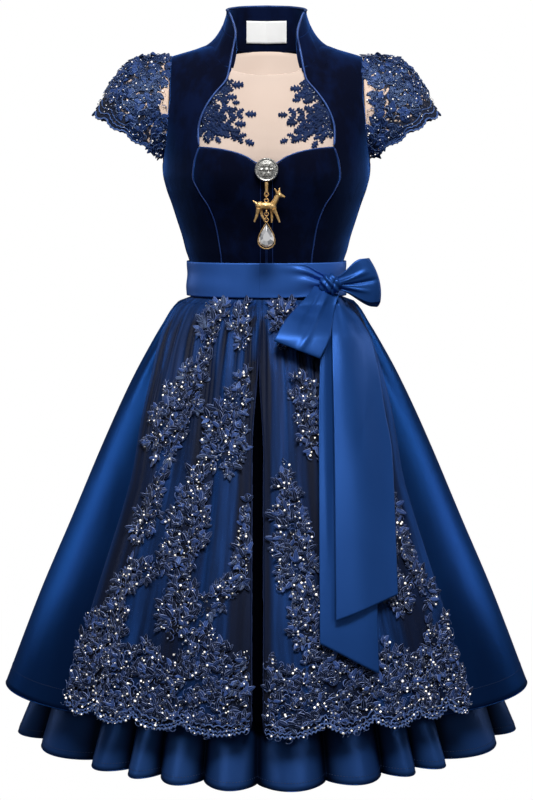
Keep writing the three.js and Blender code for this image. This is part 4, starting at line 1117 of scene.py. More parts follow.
def net_material():
    """The apron's tulle: sheer and faintly streaked, with painted shade that darkens it in its valleys and
    makes it nearly black under the lace.
    """
    r = Recipe(
        "apron_tulle", Roughness=0.6, Specular_IOR_Level=0.2, Sheen_Weight=0.2, Sheen_Roughness=0.4,
        Sheen_Tint=(0.2, 0.3, 0.8, 1),
    )
    streak = r.noise(5, 3.0, r.place((9, 0.8, 1), uv=True), 0.5)
    tint = r.noise(2.4, 2.0, r.place((7, 0.8, 1), uv=True), 0.5)
    base = r.blend(r.span(streak, 0.3, 0.75), (0.004, 0.026, 0.11, 1), (0.010, 0.066, 0.28, 1))
    base = r.blend(r.span(tint, 0.56, 0.72, 0.0, 0.32), base, (0.020, 0.020, 0.062, 1))
    # Painted shade: the valley mark darkens the tulle and makes it more opaque in its valleys and in the
    # middle pleat.
    valley = r.span(r.attribute("valley"), 0.4, 0.95, 0.0, 0.88)
    base = r.blend(valley, base, (0.0006, 0.0018, 0.010, 1))
    # Painted shadow: under the lace the net turns nearly black and opaque, for the shade between the leaves.
    lace = r.attribute("lace")
    speck = r.span(r.noise(60, 2.0), 0.42, 0.6, 0.35, 0.95)
    base = r.blend(r.math("MULTIPLY", lace, speck), base, (0.0015, 0.003, 0.012, 1))
    sheer = r.math("MAXIMUM", r.span(streak, 0.3, 0.75, 0.42, 0.62), valley)
    cover = r.math("MAXIMUM", sheer, r.math("MULTIPLY", lace, r.span(speck, 0.4, 1.0, 0.5, 0.97)))
    r.to_shader(Base_Color=base, Alpha=cover)
    mesh = r.wave(NET_WEAVE, r.place())
    r.to_shader(Normal=r.bump(mesh, 0.0002, 0.3, r.bump(streak, 0.002, 0.3)))
    return r.material


def pleat_shadow_material():
    """Painted shadow: a near-black material for the inside of the middle pleat, where only shade falls."""
    r = Recipe("pleat_painted_shadow_net", Roughness=1.0, Specular_IOR_Level=0.0)
    r.to_shader(Base_Color=r.blend(r.noise(300, 2.0), (0.0002, 0.0003, 0.0008, 1), (0.0008, 0.001, 0.003, 1)))
    return r.material


def leaf_material(name, deep, light, edge, gloss=0.34):
    """Embroidered leaves: glossy satin stitch with a thin paler cord round it and a vein."""
    r = Recipe(name, Roughness=gloss, Specular_IOR_Level=0.4, Specular_Tint=(0.4, 0.58, 1.0, 1))
    across = r.node("SeparateXYZ", Vector=r.node("UVMap", {"uv_map": "cloth"}).outputs["UV"])
    side = r.math("ABSOLUTE", r.math("SUBTRACT", across.outputs["X"], 0.5))
    shade = r.attribute("shade")
    base = r.blend(r.span(shade, 0.2, 1.0), deep, light)
    base = r.blend(r.span(side, 0.39, 0.47, 0.0, 0.95), base, edge)
    base = r.blend(r.span(side, 0.0, 0.07, 0.35, 0.0), base, edge)
    r.to_shader(Base_Color=base)
    stitch = r.wave(STITCH_WEAVE, r.place(), 2.0)
    r.to_shader(Normal=r.bump(stitch, 0.0003, 0.4))
    return r.material


def bead_material():
    """Glass beads: by their shade they are dark blue, grey-blue or a bright white, and the white ones glow a
    little, a painted glint.
    """
    r = Recipe("glass_beads", Roughness=0.12, Specular_IOR_Level=0.8, Coat_Weight=0.6, Coat_Roughness=0.05)
    shade = r.attribute("shade")
    pale = r.blend(r.span(shade, 0.55, 0.62), (0.30, 0.34, 0.46, 1), (1.0, 0.95, 0.87, 1))
    r.to_shader(Base_Color=r.blend(r.span(shade, 0.3, 0.34), (0.01, 0.02, 0.06, 1), pale))
    # Painted glint: the palest beads glow warm white though they are no lamp.
    r.to_shader(Emission_Color=(1, 0.95, 0.88, 1), Emission_Strength=r.span(shade, 0.6, 0.9, 0.0, 0.9))
    return r.material


def skin_net_material(name, glow, lit):
    """Skin-coloured net over skin-coloured lining, with black net where the lace meets the piping. Its glow
    is painted light, and lit is the share of its colour that takes the lamps' light.
    """
    r = Recipe(name, Roughness=0.75, Specular_IOR_Level=0.15, Emission_Strength=glow)
    soft = r.noise(9, 2.0)
    base = r.blend(r.span(soft, 0.3, 0.7), (0.80, 0.63, 0.53, 1), (0.86, 0.69, 0.59, 1))
    base = r.blend(r.attribute("lace"), base, (0.0015, 0.003, 0.01, 1))
    r.to_shader(Emission_Color=base)
    r.to_shader(Base_Color=r.blend(lit, (0, 0, 0, 1), base))
    mesh = r.wave(NET_WEAVE, r.place())
    r.to_shader(Normal=r.bump(mesh, 0.0002, 0.25))
    return r.material


def sleeve_net_material():
    """Skin-coloured net, nearly hidden by dark embroidery except near the armhole."""
    r = Recipe("sleeve_net", Roughness=0.65, Specular_IOR_Level=0.25)
    lace = r.attribute("lace")
    speck = r.noise(150, 3.0)
    cover = r.span(r.math("ADD", speck, r.math("MULTIPLY", lace, 0.30)), 0.66, 0.76)
    r.to_shader(Base_Color=r.blend(cover, (0.80, 0.60, 0.48, 1), (0.004, 0.009, 0.03, 1)))
    mesh = r.wave(NET_WEAVE, r.place())
    r.to_shader(Normal=r.bump(mesh, 0.0002, 0.3))
    return r.material


def piping_material():
    r = Recipe(
        "satin_piping", Metallic=0.3, Roughness=0.4, Sheen_Weight=0.3, Sheen_Roughness=0.3,
        Sheen_Tint=(0.3, 0.5, 1.0, 1),
    )
    wrap_line = r.wave(PIPING_WEAVE, r.place(), 1.0)
    tone = r.noise(60, 2.0)
    r.to_shader(Base_Color=r.blend(r.span(tone, 0.3, 0.7), (0.012, 0.042, 0.18, 1), (0.022, 0.075, 0.28, 1)))
    r.to_shader(Normal=r.bump(wrap_line, 0.0002, 0.4))
    return r.material


def thread_material(name, colour):
    r = Recipe(name, Roughness=0.5)
    r.to_shader(Base_Color=r.blend(r.noise(400, 1.0), colour, shaded(colour, 1.5)))
    return r.material


def label_material():
    # Painted light: the label glows a little so that it looks brighter in the collar's shade.
    r = Recipe("label_satin_painted_glow", Roughness=0.5, Sheen_Weight=0.3, Emission_Strength=0.22)
    weave = r.wave(LABEL_WEAVE, r.place())
    tone = r.blend(r.noise(80, 2.0), (0.82, 0.82, 0.81, 1), (0.9, 0.9, 0.89, 1))
    r.to_shader(Base_Color=tone, Emission_Color=tone)
    r.to_shader(Normal=r.bump(weave, 0.0002, 0.4))
    return r.material


def metal_material(name, colour, dark, roughness, scale, metallic):
    """Metal that is darker and rougher in small uneven patches."""
    r = Recipe(name, Metallic=metallic, Roughness=roughness)
    worn = r.noise(scale, 4.0, roughness=0.6)
    r.to_shader(Base_Color=r.blend(r.span(worn, 0.4, 0.65), colour, dark))
    r.to_shader(Roughness=r.span(worn, 0.3, 0.8, roughness, roughness + 0.15))
    r.to_shader(Normal=r.bump(worn, 0.0003, 0.25))
    return r.material


def crystal_material():
    """A foiled stone with painted reflections: each facet is painted brighter or darker by the way that it
    faces, and it glows a little.
    """
    r = Recipe("foiled_crystal", Metallic=0.4, Roughness=0.06, Coat_Weight=1.0, Coat_Roughness=0.0, IOR=1.6)
    facing = r.node("TexCoord").outputs["Normal"]
    painted_facet_glints = r.noise(3.1, 1.0, facing)
    tone = r.blend(r.span(painted_facet_glints, 0.36, 0.62), (0.16, 0.17, 0.19, 1), (0.98, 0.98, 1.0, 1))
    r.to_shader(Base_Color=tone, Emission_Color=tone, Emission_Strength=0.22)
    return r.material


VELVET_CLOTH = velvet_material()

# Satins: name, colour, brighter colour of the same, roughness and share of metal.
SKIRT_SATIN = satin_material("skirt_satin", (0.008, 0.040, 0.17, 1), (0.012, 0.060, 0.24, 1), 0.31, 0.85)
# Painted light: the ruffle is of the skirt's satin, given a brighter, less metallic copy so that it looks lit
# under the skirt's hem.
PAINTED_LIT_RUFFLE_SATIN = satin_material("ruffle_satin_painted_lit", (0.015, 0.056, 0.21, 1), (0.026, 0.088, 0.30, 1), 0.34, 0.45)
SASH_SATIN = satin_material("sash_satin", (0.013, 0.062, 0.25, 1), (0.018, 0.080, 0.31, 1), 0.42, 0.45)
# Painted light: the band round the waist is the sash's own ribbon, given a brighter copy of its satin so that
# it looks lit from the front.
PAINTED_LIT_BAND_SATIN = satin_material("band_satin_painted_lit", (0.030, 0.112, 0.42, 1), (0.040, 0.135, 0.50, 1), 0.42, 0.3)
APRON_NET = net_material()
PLEAT_PAINTED_SHADOW = pleat_shadow_material()

LACE_LEAF = leaf_material(
    "lace_leaf", deep=(0.0015, 0.005, 0.024, 1), light=(0.034, 0.078, 0.27, 1), edge=(0.36, 0.45, 0.80, 1)
)
LACE_CORD = leaf_material(
    "lace_cord", deep=(0.03, 0.06, 0.19, 1), light=(0.15, 0.22, 0.50, 1), edge=(0.30, 0.38, 0.66, 1)
)
HEM_CORD = leaf_material(
    "hem_cord", deep=(0.05, 0.10, 0.28, 1), light=(0.10, 0.18, 0.44, 1), edge=(0.17, 0.26, 0.56, 1)
)
YOKE_LEAF = leaf_material(
    "yoke_leaf", deep=(0.0015, 0.005, 0.028, 1), light=(0.005, 0.015, 0.068, 1), edge=(0.022, 0.045, 0.16, 1),
    gloss=0.6,
)
SLEEVE_LEAF = leaf_material(
    "sleeve_leaf", deep=(0.003, 0.009, 0.04, 1), light=(0.020, 0.050, 0.19, 1), edge=(0.12, 0.20, 0.46, 1),
    gloss=0.3,
)
SLEEVE_CORD = leaf_material(
    "sleeve_cord", deep=(0.04, 0.08, 0.22, 1), light=(0.14, 0.22, 0.44, 1), edge=(0.22, 0.30, 0.54, 1)
)
SEAM_CORD = thread_material("seam_cord", (0.008, 0.030, 0.14, 1))
BEADS = bead_material()
SKIN_NET = skin_net_material("skin_net", glow=0.0, lit=0.83)
# Painted light: the back neck facing glows so that, in the collar's shade, it looks as bright as the lit
# yoke.
PAINTED_GLOW_FACING_NET = skin_net_material("neck_facing_net_painted_glow", glow=0.93, lit=0.3)
SLEEVE_NET = sleeve_net_material()
PIPING = piping_material()
LABEL_SATIN = label_material()
SEAM_THREAD = thread_material("seam_thread", (0.03, 0.07, 0.22, 1))
HEM_THREAD = thread_material("hem_thread", (0.006, 0.018, 0.07, 1))
SILVER = metal_material("antique_silver", (0.80, 0.79, 0.75, 1), (0.10, 0.10, 0.095, 1), 0.3, 520, 0.7)
GILT = metal_material("gilding", (0.85, 0.56, 0.25, 1), (0.62, 0.36, 0.12, 1), 0.34, 160, 0.55)
CRYSTAL = crystal_material()

# ---- Bodice ----


def pair(name, surface, grid, material, thickness, slot, node, held, marks=None):
    """The piece on the wearer's left, at +X, and its mirror image."""
    for side, half in (("left", surface), ("right", mirrored(surface))):
        side_marks = marks
        if marks and side == "right":
            side_marks = {k: (lambda u, v, f=f: f(1 - u, v)) for k, f in marks.items()}
        cloth(
            f"{name}_{side}", half, grid, material, thickness, slot, f"{node}_{side}", held, marks=side_marks
        )


VELVET_MATERIALS = dict(material=VELVET_CLOTH, thickness=VELVET, slot="velvet", held="stretched")
pair("velvet_centre_front", centre_front, (34, 60), node="bodice_centre_front", **VELVET_MATERIALS)
pair("velvet_side_front", side_front, (40, 110), node="bodice_side_front", **VELVET_MATERIALS)
cloth("velvet_back", whole_back, (90, 100), node="bodice_back", **VELVET_MATERIALS)
cloth("velvet_collar", collar, (120, 26), node="stand_collar", **VELVET_MATERIALS)
collar_flow_cloth = shaped_grid("velvet_collar_flow", collar_flow, 150, 20, VELVET_CLOTH)
declare(collar_flow_cloth, collar_flow, "stretched", ["velvet_collar", "velvet_back"])
settle(thicken(collar_flow_cloth, 0.8), "velvet")


def yoke_black_net(u, v):
    """The band of black net beside the piping, under the lace."""
    point = whole_yoke(u, v)
    edge = KEYHOLE_X.read("x", point[:, 2]) - np.abs(point[:, 0])
    wide = 11 * ease((-28 - point[:, 2]) / 26) * ease((point[:, 2] + 132) / 14)
    return 1 - ease((edge - wide + 1.5) / 3)


KEYHOLE_X = Table("z x", *[(z, x) for x, z in KEYHOLE_EDGE])
cloth(
    "yoke_net", whole_yoke, (200, 90), SKIN_NET, NET, "skin_net", "net_yoke", "stretched",
    marks={"lace": yoke_black_net},
)
cloth("neck_facing", back_facing, (40, 10), PAINTED_GLOW_FACING_NET, NET, "skin_net", "back_neck_facing", "stretched")


def body_line(points, side, outset, sign=1, count=60):
    """A line over the bodice through (x, z) points."""
    flat = along([(x, 0, z) for x, z in points], np.linspace(0, 1, count))
    return body_at(sign * flat[:, 0], flat[:, 2], side, outset)


# Corded seams: name, (x, z) points, side of the body and radius.
BACK_SEAM = [(44, -352), (46, -300), (55, -240), (66, -180), (84, -120), (112, -84), (148, -70)]
SEAMS = [
    ("princess_cord", PRINCESS_SEAM, "front", 1.0),
    ("back_cord", BACK_SEAM, "back", 0.9),
    ("closure_edge", [(0.9, -352), (0.9, -270), (0.9, -176)], "front", 0.45),
    ("closure_stitch", [(9.5, -352), (9.3, -270), (9.0, -172)], "front", 0.5),
    ("side_seam_cord", SIDE_LINE + [(163.3, -165)], "front", 0.8),
]
seam_cords = []
for seam_name, seam_points, seam_side, seam_radius in SEAMS:
    for sign in (1, -1):
        line = body_line(seam_points, seam_side, VELVET / 2 + 0.1, sign)
        seam_cords.append(cord(f"{seam_name}_{sign}", line, seam_radius, 110, SEAM_CORD, 8))
settle(join("seam_cords", seam_cords), "velvet")


def prick_stitches(name, points, side, sign):
    """Tiny stitches beside a seam."""

    def surface(u, v):
        flat = along([(x, 0, z) for x, z in points], v)
        return body_at(sign * (flat[:, 0] + 4 * (u - 0.5)), flat[:, 2], side, VELVET / 2)

    beside = mix(0.5, 0.95, 0.4)
    line = lambda t: (np.full_like(t, beside), t)
    return stitches(name, surface, line, length=1.6, gap=5.5, material=SEAM_THREAD, lift=0.7, width=0.35)


prick = [prick_stitches(f"prick_{s}", PRINCESS_SEAM, "front", s) for s in (1, -1)]
settle(join("seam_stitches", prick), "piping_satin")

# ---- Piping ----

PIPING_RADIUS = 1.75
PIPING_OFF = 1.5
KEYHOLE_PIPING = [(104.6, -140.5)] + KEYHOLE_EDGE[1:-1] + [(61, -34.5)]


def neck_piping():
    """One run of piping from the corner of the sweetheart edge up to the collar's top corner."""
    keyhole = body_line(moved(KEYHOLE_PIPING, -PIPING_OFF), "front", 0.4)
    share = np.linspace(0.12, 1, 16)
    flow = collar_flow(np.full_like(share, 1e-3), share)
    high = np.linspace(FLOW_TOP + 0.06, 1.0, 10)
    edge = collar(np.full_like(high, 0.0), high)
    edge = edge + unit(edge - collar(np.full_like(high, 0.04), high)) * PIPING_OFF
    line = np.concatenate([keyhole, flow, edge])
    for _ in range(6):
        line[1:-1] = 0.25 * line[:-2] + 0.5 * line[1:-1] + 0.25 * line[2:]
    return line


NECK_PIPING = neck_piping()
for sign, side in ((1, "left"), (-1, "right")):
    run = cord(f"neck_piping_{side}", NECK_PIPING * (sign, 1, 1), PIPING_RADIUS, 170, PIPING)
    settle(run, "piping_satin", (f"keyhole_piping_{side}", f"collar_edge_piping_{side}"))
    heart = body_line(moved(SWEETHEART_EDGE, -0.6, PIPING_OFF), "front", 0.4, sign)
    settle(
        cord(f"sweetheart_cord_{side}", heart, PIPING_RADIUS - 0.4, 80, PIPING),
        "piping_satin", (f"sweetheart_piping_{side}",),
    )
top_share = np.linspace(0.0, 1.0, 61)
top_edge = collar(top_share, np.ones_like(top_share))
upwards = unit(top_edge - collar(top_share, np.full_like(top_share, 0.95)))
settle(
    cord("collar_top_cord", top_edge + upwards * PIPING_OFF, PIPING_RADIUS, 160, PIPING),
    "piping_satin", ("collar_top_piping",),
)

neck_seam = [COLLAR_SEAM * (sign, 1, 1) for sign in (1, -1)]
neck_seam = np.concatenate([neck_seam[0], neck_seam[1][::-1][1:]])
settle(cord("neck_seam_cord", neck_seam + np.array([0, 0, -0.4]), 1.7, 200, VELVET_CLOTH, 8), "velvet")

# ---- Label ----

LABEL_THICKNESS = 0.8
LABEL_AROUND = 0.205
LABEL_MIDDLE = 0.435
LABEL_LENGTH = 0.5
LABEL_UP = collar(np.array([0.5]), np.array([0.9]))[0] - collar(np.array([0.5]), np.array([0.1]))[0]


def inside_collar(around):
    spot, _, _, out = frame_on(collar, around, np.full_like(around, LABEL_MIDDLE))
    return spot - out * (VELVET / 2 + 1.6)


def label(u, v):
    """A strip bent round inside the collar, straight up and down."""
    point = inside_collar(0.5 + LABEL_AROUND * (u - 0.5))
    height = LABEL_UP / 0.8 * LABEL_LENGTH
    above = (point - inside_collar(np.array([0.5]))) @ height / (height @ height)
    return point + height * (v - 0.5 - above)[:, None]


cloth(
    "bare_label", label, (24, 12), LABEL_SATIN, LABEL_THICKNESS, "label_cloth", "neck_label", "laid",
    ["velvet_collar"],
)

# ---- Skirts ----

SKIRT_MATERIALS = dict(material=SKIRT_SATIN, thickness=SATIN, slot="skirt_satin", closed=True)
cloth("satin_skirt", skirt, (420, 84), node="skirt", held="gathered", **SKIRT_MATERIALS)
cloth("satin_underskirt", underskirt, (120, 30), node="underskirt", held="hung", **SKIRT_MATERIALS)
# The ruffle takes the brighter copy of the skirt satin, which is painted light.
PAINTED_LIT_RUFFLE_MATERIALS = dict(SKIRT_MATERIALS, material=PAINTED_LIT_RUFFLE_SATIN)
cloth(
    "satin_ruffle", ruffle, (1040, 16), node="ruffle", held="gathered", marks={"valley": ruffle_painted_shade},
    **PAINTED_LIT_RUFFLE_MATERIALS,
)


def level_line(v):
    return lambda t: (t, np.full_like(t, v))


def tube_ring(name, surface, v, radius, material, out=0.0, count=900):
    """A cord that lies round a closed cloth."""
    t = np.linspace(0, 1, count)
    spot, _, _, normal = frame_on(surface, t, np.full_like(t, v))
    return cord(name, spot + normal * out, radius, count, material, 6)


hem_work = [
    stitches("hem_stitch", skirt, level_line(0.045), 3.2, 1.6, HEM_THREAD, 0.6),
    stitches("ruffle_stitch", ruffle, level_line(0.10), 3.0, 1.6, HEM_THREAD, 0.6),
]
settle(join("hem_stitches", hem_work), "skirt_satin")
settle(join("rolled_hems", [
    tube_ring("skirt_hem_roll", skirt, 0.0, 0.9, SKIRT_SATIN),
    tube_ring("ruffle_hem_roll", ruffle, 0.0, 0.8, SKIRT_SATIN, count=1560),
]), "skirt_satin")

# ---- Apron and its lace ----

# Sprays of lace: the middle of each in shares of width and height (1 is the top), its half length, half
# width and lean in millimetres and degrees, and how much it narrows towards its top.
SPRAYS = [
    (0.243, 0.918, 38, 14, 2, -0.5),
    (0.393, 0.922, 38, 19, 0, -0.4),
    (0.592, 0.927, 36, 20, -4, -0.4),
    (0.157, 0.735, 92, 32, -20, 0.5),
    (0.345, 0.662, 56, 38, 4, 0.2),
    (0.407, 0.775, 60, 17, -22, 0.3),
    (0.665, 0.712, 66, 27, 10, 0.1),
    (0.250, 0.487, 84, 37, -3, 0.6),
    (0.195, 0.370, 54, 15, -62, 0.0),
    (0.100, 0.325, 38, 24, -40, 0.2),
    (0.110, 0.495, 62, 20, -14, 0.5),
    (0.075, 0.190, 62, 42, -14, 0.1),
    (0.262, 0.285, 52, 36, 0, 0.3),
    (0.432, 0.420, 70, 13, -3, 0.2),
    (0.375, 0.312, 48, 16, -46, 0.0),
    (0.578, 0.455, 104, 34, 5, 0.6),
    (0.610, 0.262, 56, 32, 0, 0.5),
    (0.905, 0.485, 88, 22, 14, 0.5),
    (0.875, 0.305, 40, 28, 8, 0.2),
    (0.955, 0.320, 44, 14, 18, 0.2),
]
APRON_WIDTH = (250, 800)
APRON_LENGTH = APRON_TOP_Z - APRON_HEM_Z


def spray_field(u, v, ragged=0.0):
    """How much lace there is at a place, 0 on bare net to 1, and which way its leaves point from upright."""
    wide = mix(APRON_WIDTH[1], APRON_WIDTH[0], v)
    border = 0.205 + 0.03 * np.sin(u * 19 + 1) + 0.02 * np.sin(u * 41)
    bare = np.sin(u * 47 + 3 * np.sin(v * 23)) * np.sin(v * 61 + 2 * np.sin(u * 31))
    gaps = ease((bare - 0.45) / 0.2) * ease((v - 0.03) / 0.02)
    most = ease((border - v + ragged * 0.02) / 0.03) * (1 - gaps)
    turn = 1.4 * np.sin(u * 57 + 3 * np.sin(v * 31))
    for at_u, at_v, long, half, lean, narrow in SPRAYS:
        dx, dz = (u - at_u) * wide, (v - at_v) * APRON_LENGTH
        c, s = math.cos(math.radians(lean)), math.sin(math.radians(lean))
        up, across = (dz * c - dx * s) / long, (dx * c + dz * s) / half
        across = across / np.maximum(0.25, 1 - narrow * up)
        twigs = 1 + 0.13 * np.cos(11 * np.arctan2(across, up) + 40 * at_u)
        cover = ease((0.93 + ragged * 0.2 - np.sqrt(up**2 + across**2) * twigs) / 0.14)
        fan = np.arctan2(1.1 * across, 0.55 + up) - math.radians(lean)
        turn = np.where(cover > most, fan, turn)
        most = np.maximum(most, cover)
    return most, turn


def spray_cover(u, v, ragged=0.0):
    return spray_field(u, v, ragged)[0]


def beside_fold(u, v):
    """Where there is room for lace beside the middle fold."""
    return np.abs(apron(u, v)[:, 0] - PLEAT_X) > PLEAT_HALF + 5


def apron_pleat(u, v):
    point = apron(u, v)
    down = (WAIST_SEAM_Z - point[:, 2]) / (WAIST_SEAM_Z - SKIRT_HEM_Z)
    return pleat_at(point[:, 0], down)


def apron_painted_shade(u, v):
    """Painted shade for the tulle: how deep in a valley it is, from 0 to 1, more near the middle pleat and 1
    in it.
    """
    share = 1 - v
    low = 1 - apron_waves(u, share)
    near = bell(apron(u, v)[:, 0] - PLEAT_X, 26) * 0.35
    between_folds = 1.25 * low * ease(share * 9) + near * ease(share * 4)
    return np.clip(np.maximum(between_folds, apron_pleat(u, v) * 2.5), 0, 1)


# The tulle's lace and valley marks carry painted shade: nearly black under the lace and darker in the
# valleys.
apron_tulle = cloth(
    "apron_tulle", apron, (600, 80), APRON_NET, NET, "lace", "apron", "gathered", ["satin_skirt"],
    marks={"lace": spray_cover, "pleat": apron_pleat, "valley": apron_painted_shade},
)
# Painted shadow: faces deep in the middle pleat take the near-black pleat material.
apron_tulle.data.materials.append(PLEAT_PAINTED_SHADOW)
corner_points = read_all(apron_tulle.data.loops, "vertex_index")
fold_mark = read_all(apron_tulle.data.attributes["pleat"].data, "value", np.float32)
in_pleat_shadow = fold_mark[corner_points].reshape(-1, 4).min(axis=1) > 0.5
apron_tulle.data.polygons.foreach_set("material_index", in_pleat_shadow.astype(np.int32))


def lace_spots(surface, count, spacing, keep):
    """Spots over a surface about one spacing apart, where keep(u, v) says so."""
    u, v = random.random(count), random.random(count)
    wanted = keep(u, v)
    u, v = u[wanted], v[wanted]
    kept = thinned(surface(u, v), spacing)
    return u[kept], v[kept]


# Each twig of lace: how far its leaflets turn from its middle one, and their lengths.
TWIG = ((0.0, 1.0), (0.95, 0.8), (-0.95, 0.8))


def lay_twigs(name, surface, u, v, turn, long, wide, material, stand=1.0, low=1.3, dark=1.5):
    """Twigs of three leaflets, each leaflet starting near the twig's foot."""
    spot, right, up, out = frame_on(surface, u, v)
    n = len(u)
    pieces = []
    for bend, share in TWIG:
        across, ahead = turned(right, up, turn + bend * (0.8 + 0.4 * random.random(n)))
        tilt = (stand * (0.05 + 0.5 * (random.random(n) - 0.35)))[:, None]
        ahead, normal = unit(ahead + out * tilt), unit(out - ahead * tilt)
        scale = share * (0.75 + 0.5 * random.random(n))
        size = np.stack([wide * scale, long * scale, np.full(n, 0.9)], -1)
        lift = low + (0.3 + 1.2 * stand) * random.random(n)
        place = spot + ahead * (long * scale * 0.85)[:, None] + out * lift[:, None]
        pieces.append((place, across, ahead, normal, size))
    joined = [np.concatenate(part) for part in zip(*pieces)]
    shade = random.random(3 * n) ** dark
    return scatter(name, LEAF, *joined, material, shade)


# Lace of the apron: how many random spots are tried, and about how far apart those that stay are.
LEAF_TRIES, LACE_SPACING = 120000, 13.8
SMALL_TRIES, CURL_SPACING, BEAD_SPACING, SEED_SPACING = 60000, 11.0, 10.2, 10.5
LEAF_BANDS = ((0.024, 0.115), (0.115, 0.25), (0.25, 1.0))  # from and to which share of the height


def apron_leaves():
    for part, (low, high) in enumerate(LEAF_BANDS):
        wanted = lambda u, v: (
            (v > low) & (v <= high) & (spray_cover(u, v, 1.6 * random.random(len(u)) - 1.5) > 0.5)
            & beside_fold(u, v)
        )
        u, v = lace_spots(apron, LEAF_TRIES, LACE_SPACING, wanted)
        turn = spray_field(u, v)[1] + 1.1 * (random.random(len(u)) - 0.5)
        leaves = lay_twigs(
            f"apron_leaves_{part}", apron, u, v, turn, long=8.0, wide=3.5, material=LACE_LEAF, stand=1.2,
            low=1.3, dark=2.1,
        )
        settle(leaves, "lace")


def lay_curls(name, surface, u, v, radius, material):
    spot, right, up, out = frame_on(surface, u, v)
    across, ahead = turned(right, up, 2 * math.pi * random.random(len(u)))
    size = (radius * (0.7 + 0.6 * random.random(len(u))))[:, None] * np.ones(3)
    return scatter(name, CURL, spot + out * CURL_LIFT, across, ahead, out, size, material)


def lay_beads(name, surface, u, v, radius, lift, shade=None):
    spot, right, up, out = frame_on(surface, u, v)
    size = (radius * (0.55 + 0.85 * random.random(len(u)) ** 2))[:, None] * np.ones(3)
    return scatter(name, BEAD, spot + out * lift, right, up, out, size, BEADS, shade)


apron_leaves()
open_lace = lambda share, ragged: lambda u, v: (spray_cover(u, v, ragged) > share) & beside_fold(u, v)
curl_u, curl_v = lace_spots(apron, SMALL_TRIES, CURL_SPACING, open_lace(0.4, 0.0))
settle(lay_curls("apron_curls", apron, curl_u, curl_v, 6.2, LACE_CORD), "lace")
bead_u, bead_v = lace_spots(apron, SMALL_TRIES, BEAD_SPACING, open_lace(0.5, 0.2))
settle(lay_beads("apron_beads", apron, bead_u, bead_v, 1.5, 4.6), "lace")
seed_u, seed_v = lace_spots(apron, SMALL_TRIES, SEED_SPACING, open_lace(0.55, 0.0))
settle(lay_beads("apron_seed_beads", apron, seed_u, seed_v, 0.7, 3.6, np.full(len(seed_u), 0.45)), "lace")


def scalloped_line(surface, small, depth, at, count, out):
    """A line near the lower edge of a surface that runs in small scallops."""
    t = np.linspace(0.002, 0.998, count)
    picot = depth * np.abs(np.sin(math.pi * small * t))
    spot, _, up, normal = frame_on(surface, t, np.full_like(t, at))
    return spot + normal * out + up * picot[:, None]


# Cords along the apron's lower edge: scallops, their depth, place, lift and radius.
HEM_CORDS = [(104, 3.2, 0.0, 2.2, 1.35), (104, 2.4, 0.009, 2.6, 1.1), (52, 3.0, 0.021, 3.0, 1.0)]
hem_cords = []
for hem_k, (small, picot_depth, hem_at, hem_lift, hem_radius) in enumerate(HEM_CORDS):
    hem_line = scalloped_line(apron, small, picot_depth, hem_at, 1400, hem_lift)
    beside = hem_line[:, 0] - PLEAT_X
    for side_sign in (1, -1):
        run = hem_line[beside * side_sign > PLEAT_HALF + 0.5]
        hem_cords.append(cord(f"hem_cord_{hem_k}_{side_sign}", run, hem_radius, 900, HEM_CORD, 6))
settle(join("apron_hem_cords", hem_cords), "lace")

# ---- Sash and bow ----

SASH_MATERIALS = dict(material=SASH_SATIN, thickness=RIBBON, slot="sash_satin")
# The band and the ply into the knot take the brighter copy of the sash satin, which is painted light.
PAINTED_LIT_BAND_MATERIALS = dict(SASH_MATERIALS, material=PAINTED_LIT_BAND_SATIN)
cloth("sash_ribbon", sash, (240, 24), node="sash_band", held="stretched", closed=True, **PAINTED_LIT_BAND_MATERIALS)
front_wrap = shaped_grid("sash_wrap", wrap, 110, 60, PAINTED_LIT_BAND_SATIN)
declare(front_wrap, wrap, "folded", ["sash_ribbon"])
settle(thicken(front_wrap, RIBBON), "sash_satin")
for name, surface, node in (
    ("bow_right_loop", outer_loop, "bow_loop_outer"), ("bow_lower_loop", lower_loop, "bow_loop_lower"),
):
    cloth(name, surface, (150, 44), node=node, held="folded", closed=True, **SASH_MATERIALS)
for name, surface, node in (
    ("front_tail_ribbon", front_tail, "sash_tail_front"), ("back_tail_ribbon", back_tail, "sash_tail_back"),
):
    cloth(name, surface, (60, 150), node=node, held="hung", **SASH_MATERIALS)


def knot_piece():
    """The knot: a lump with the folds of the ribbon wound round it."""
    bm = bmesh.new()
    bmesh.ops.create_uvsphere(bm, u_segments=96, v_segments=64, radius=1)
    for vert in bm.verts:
        x, z, y = vert.co
        swirl = x + 0.55 * z
        fold = 0.10 * math.sin(9 * swirl + 2.2 * z) * (1 - 0.5 * abs(z))
        groove = -0.13 * math.exp(-(((x - 0.34 - 0.35 * z) / 0.10) ** 2))
        groove -= 0.10 * math.exp(-(((x + 0.42 - 0.3 * z) / 0.09) ** 2))
        scale = 1 + fold + groove
        vert.co = (x * scale, y * 0.72 * scale, z * scale)
    bmesh.ops.scale(bm, vec=[KNOT["radius"] * MM] * 3, verts=bm.verts)
    bmesh.ops.translate(bm, vec=[KNOT[axis] * MM for axis in "xyz"], verts=bm.verts)
    bmesh.ops.recalc_face_normals(bm, faces=bm.faces)
    return new_piece("bow_knot_ribbon", mesh_of("bow_knot_ribbon", bm), SASH_SATIN)


settle(knot_piece(), "sash_satin", ("bow_knot",))

# ---- Sleeves ----


def sleeve_cover(u, v):
    """Dense lace over the cap, open near the armhole at the front and back."""
    side = np.abs(2 * u - 1)
    return 1 - ease((v - 0.82) / 0.10) * ease((side - 0.3) / 0.14) * (1 - ease((side - 0.8) / 0.1))


def sleeve_dense(u, v):
    """The sleeve's net is darkest along the hem, under its cords."""
    return sleeve_cover(u, v) + 0.5 * (1 - ease((v - 0.1) / 0.08))


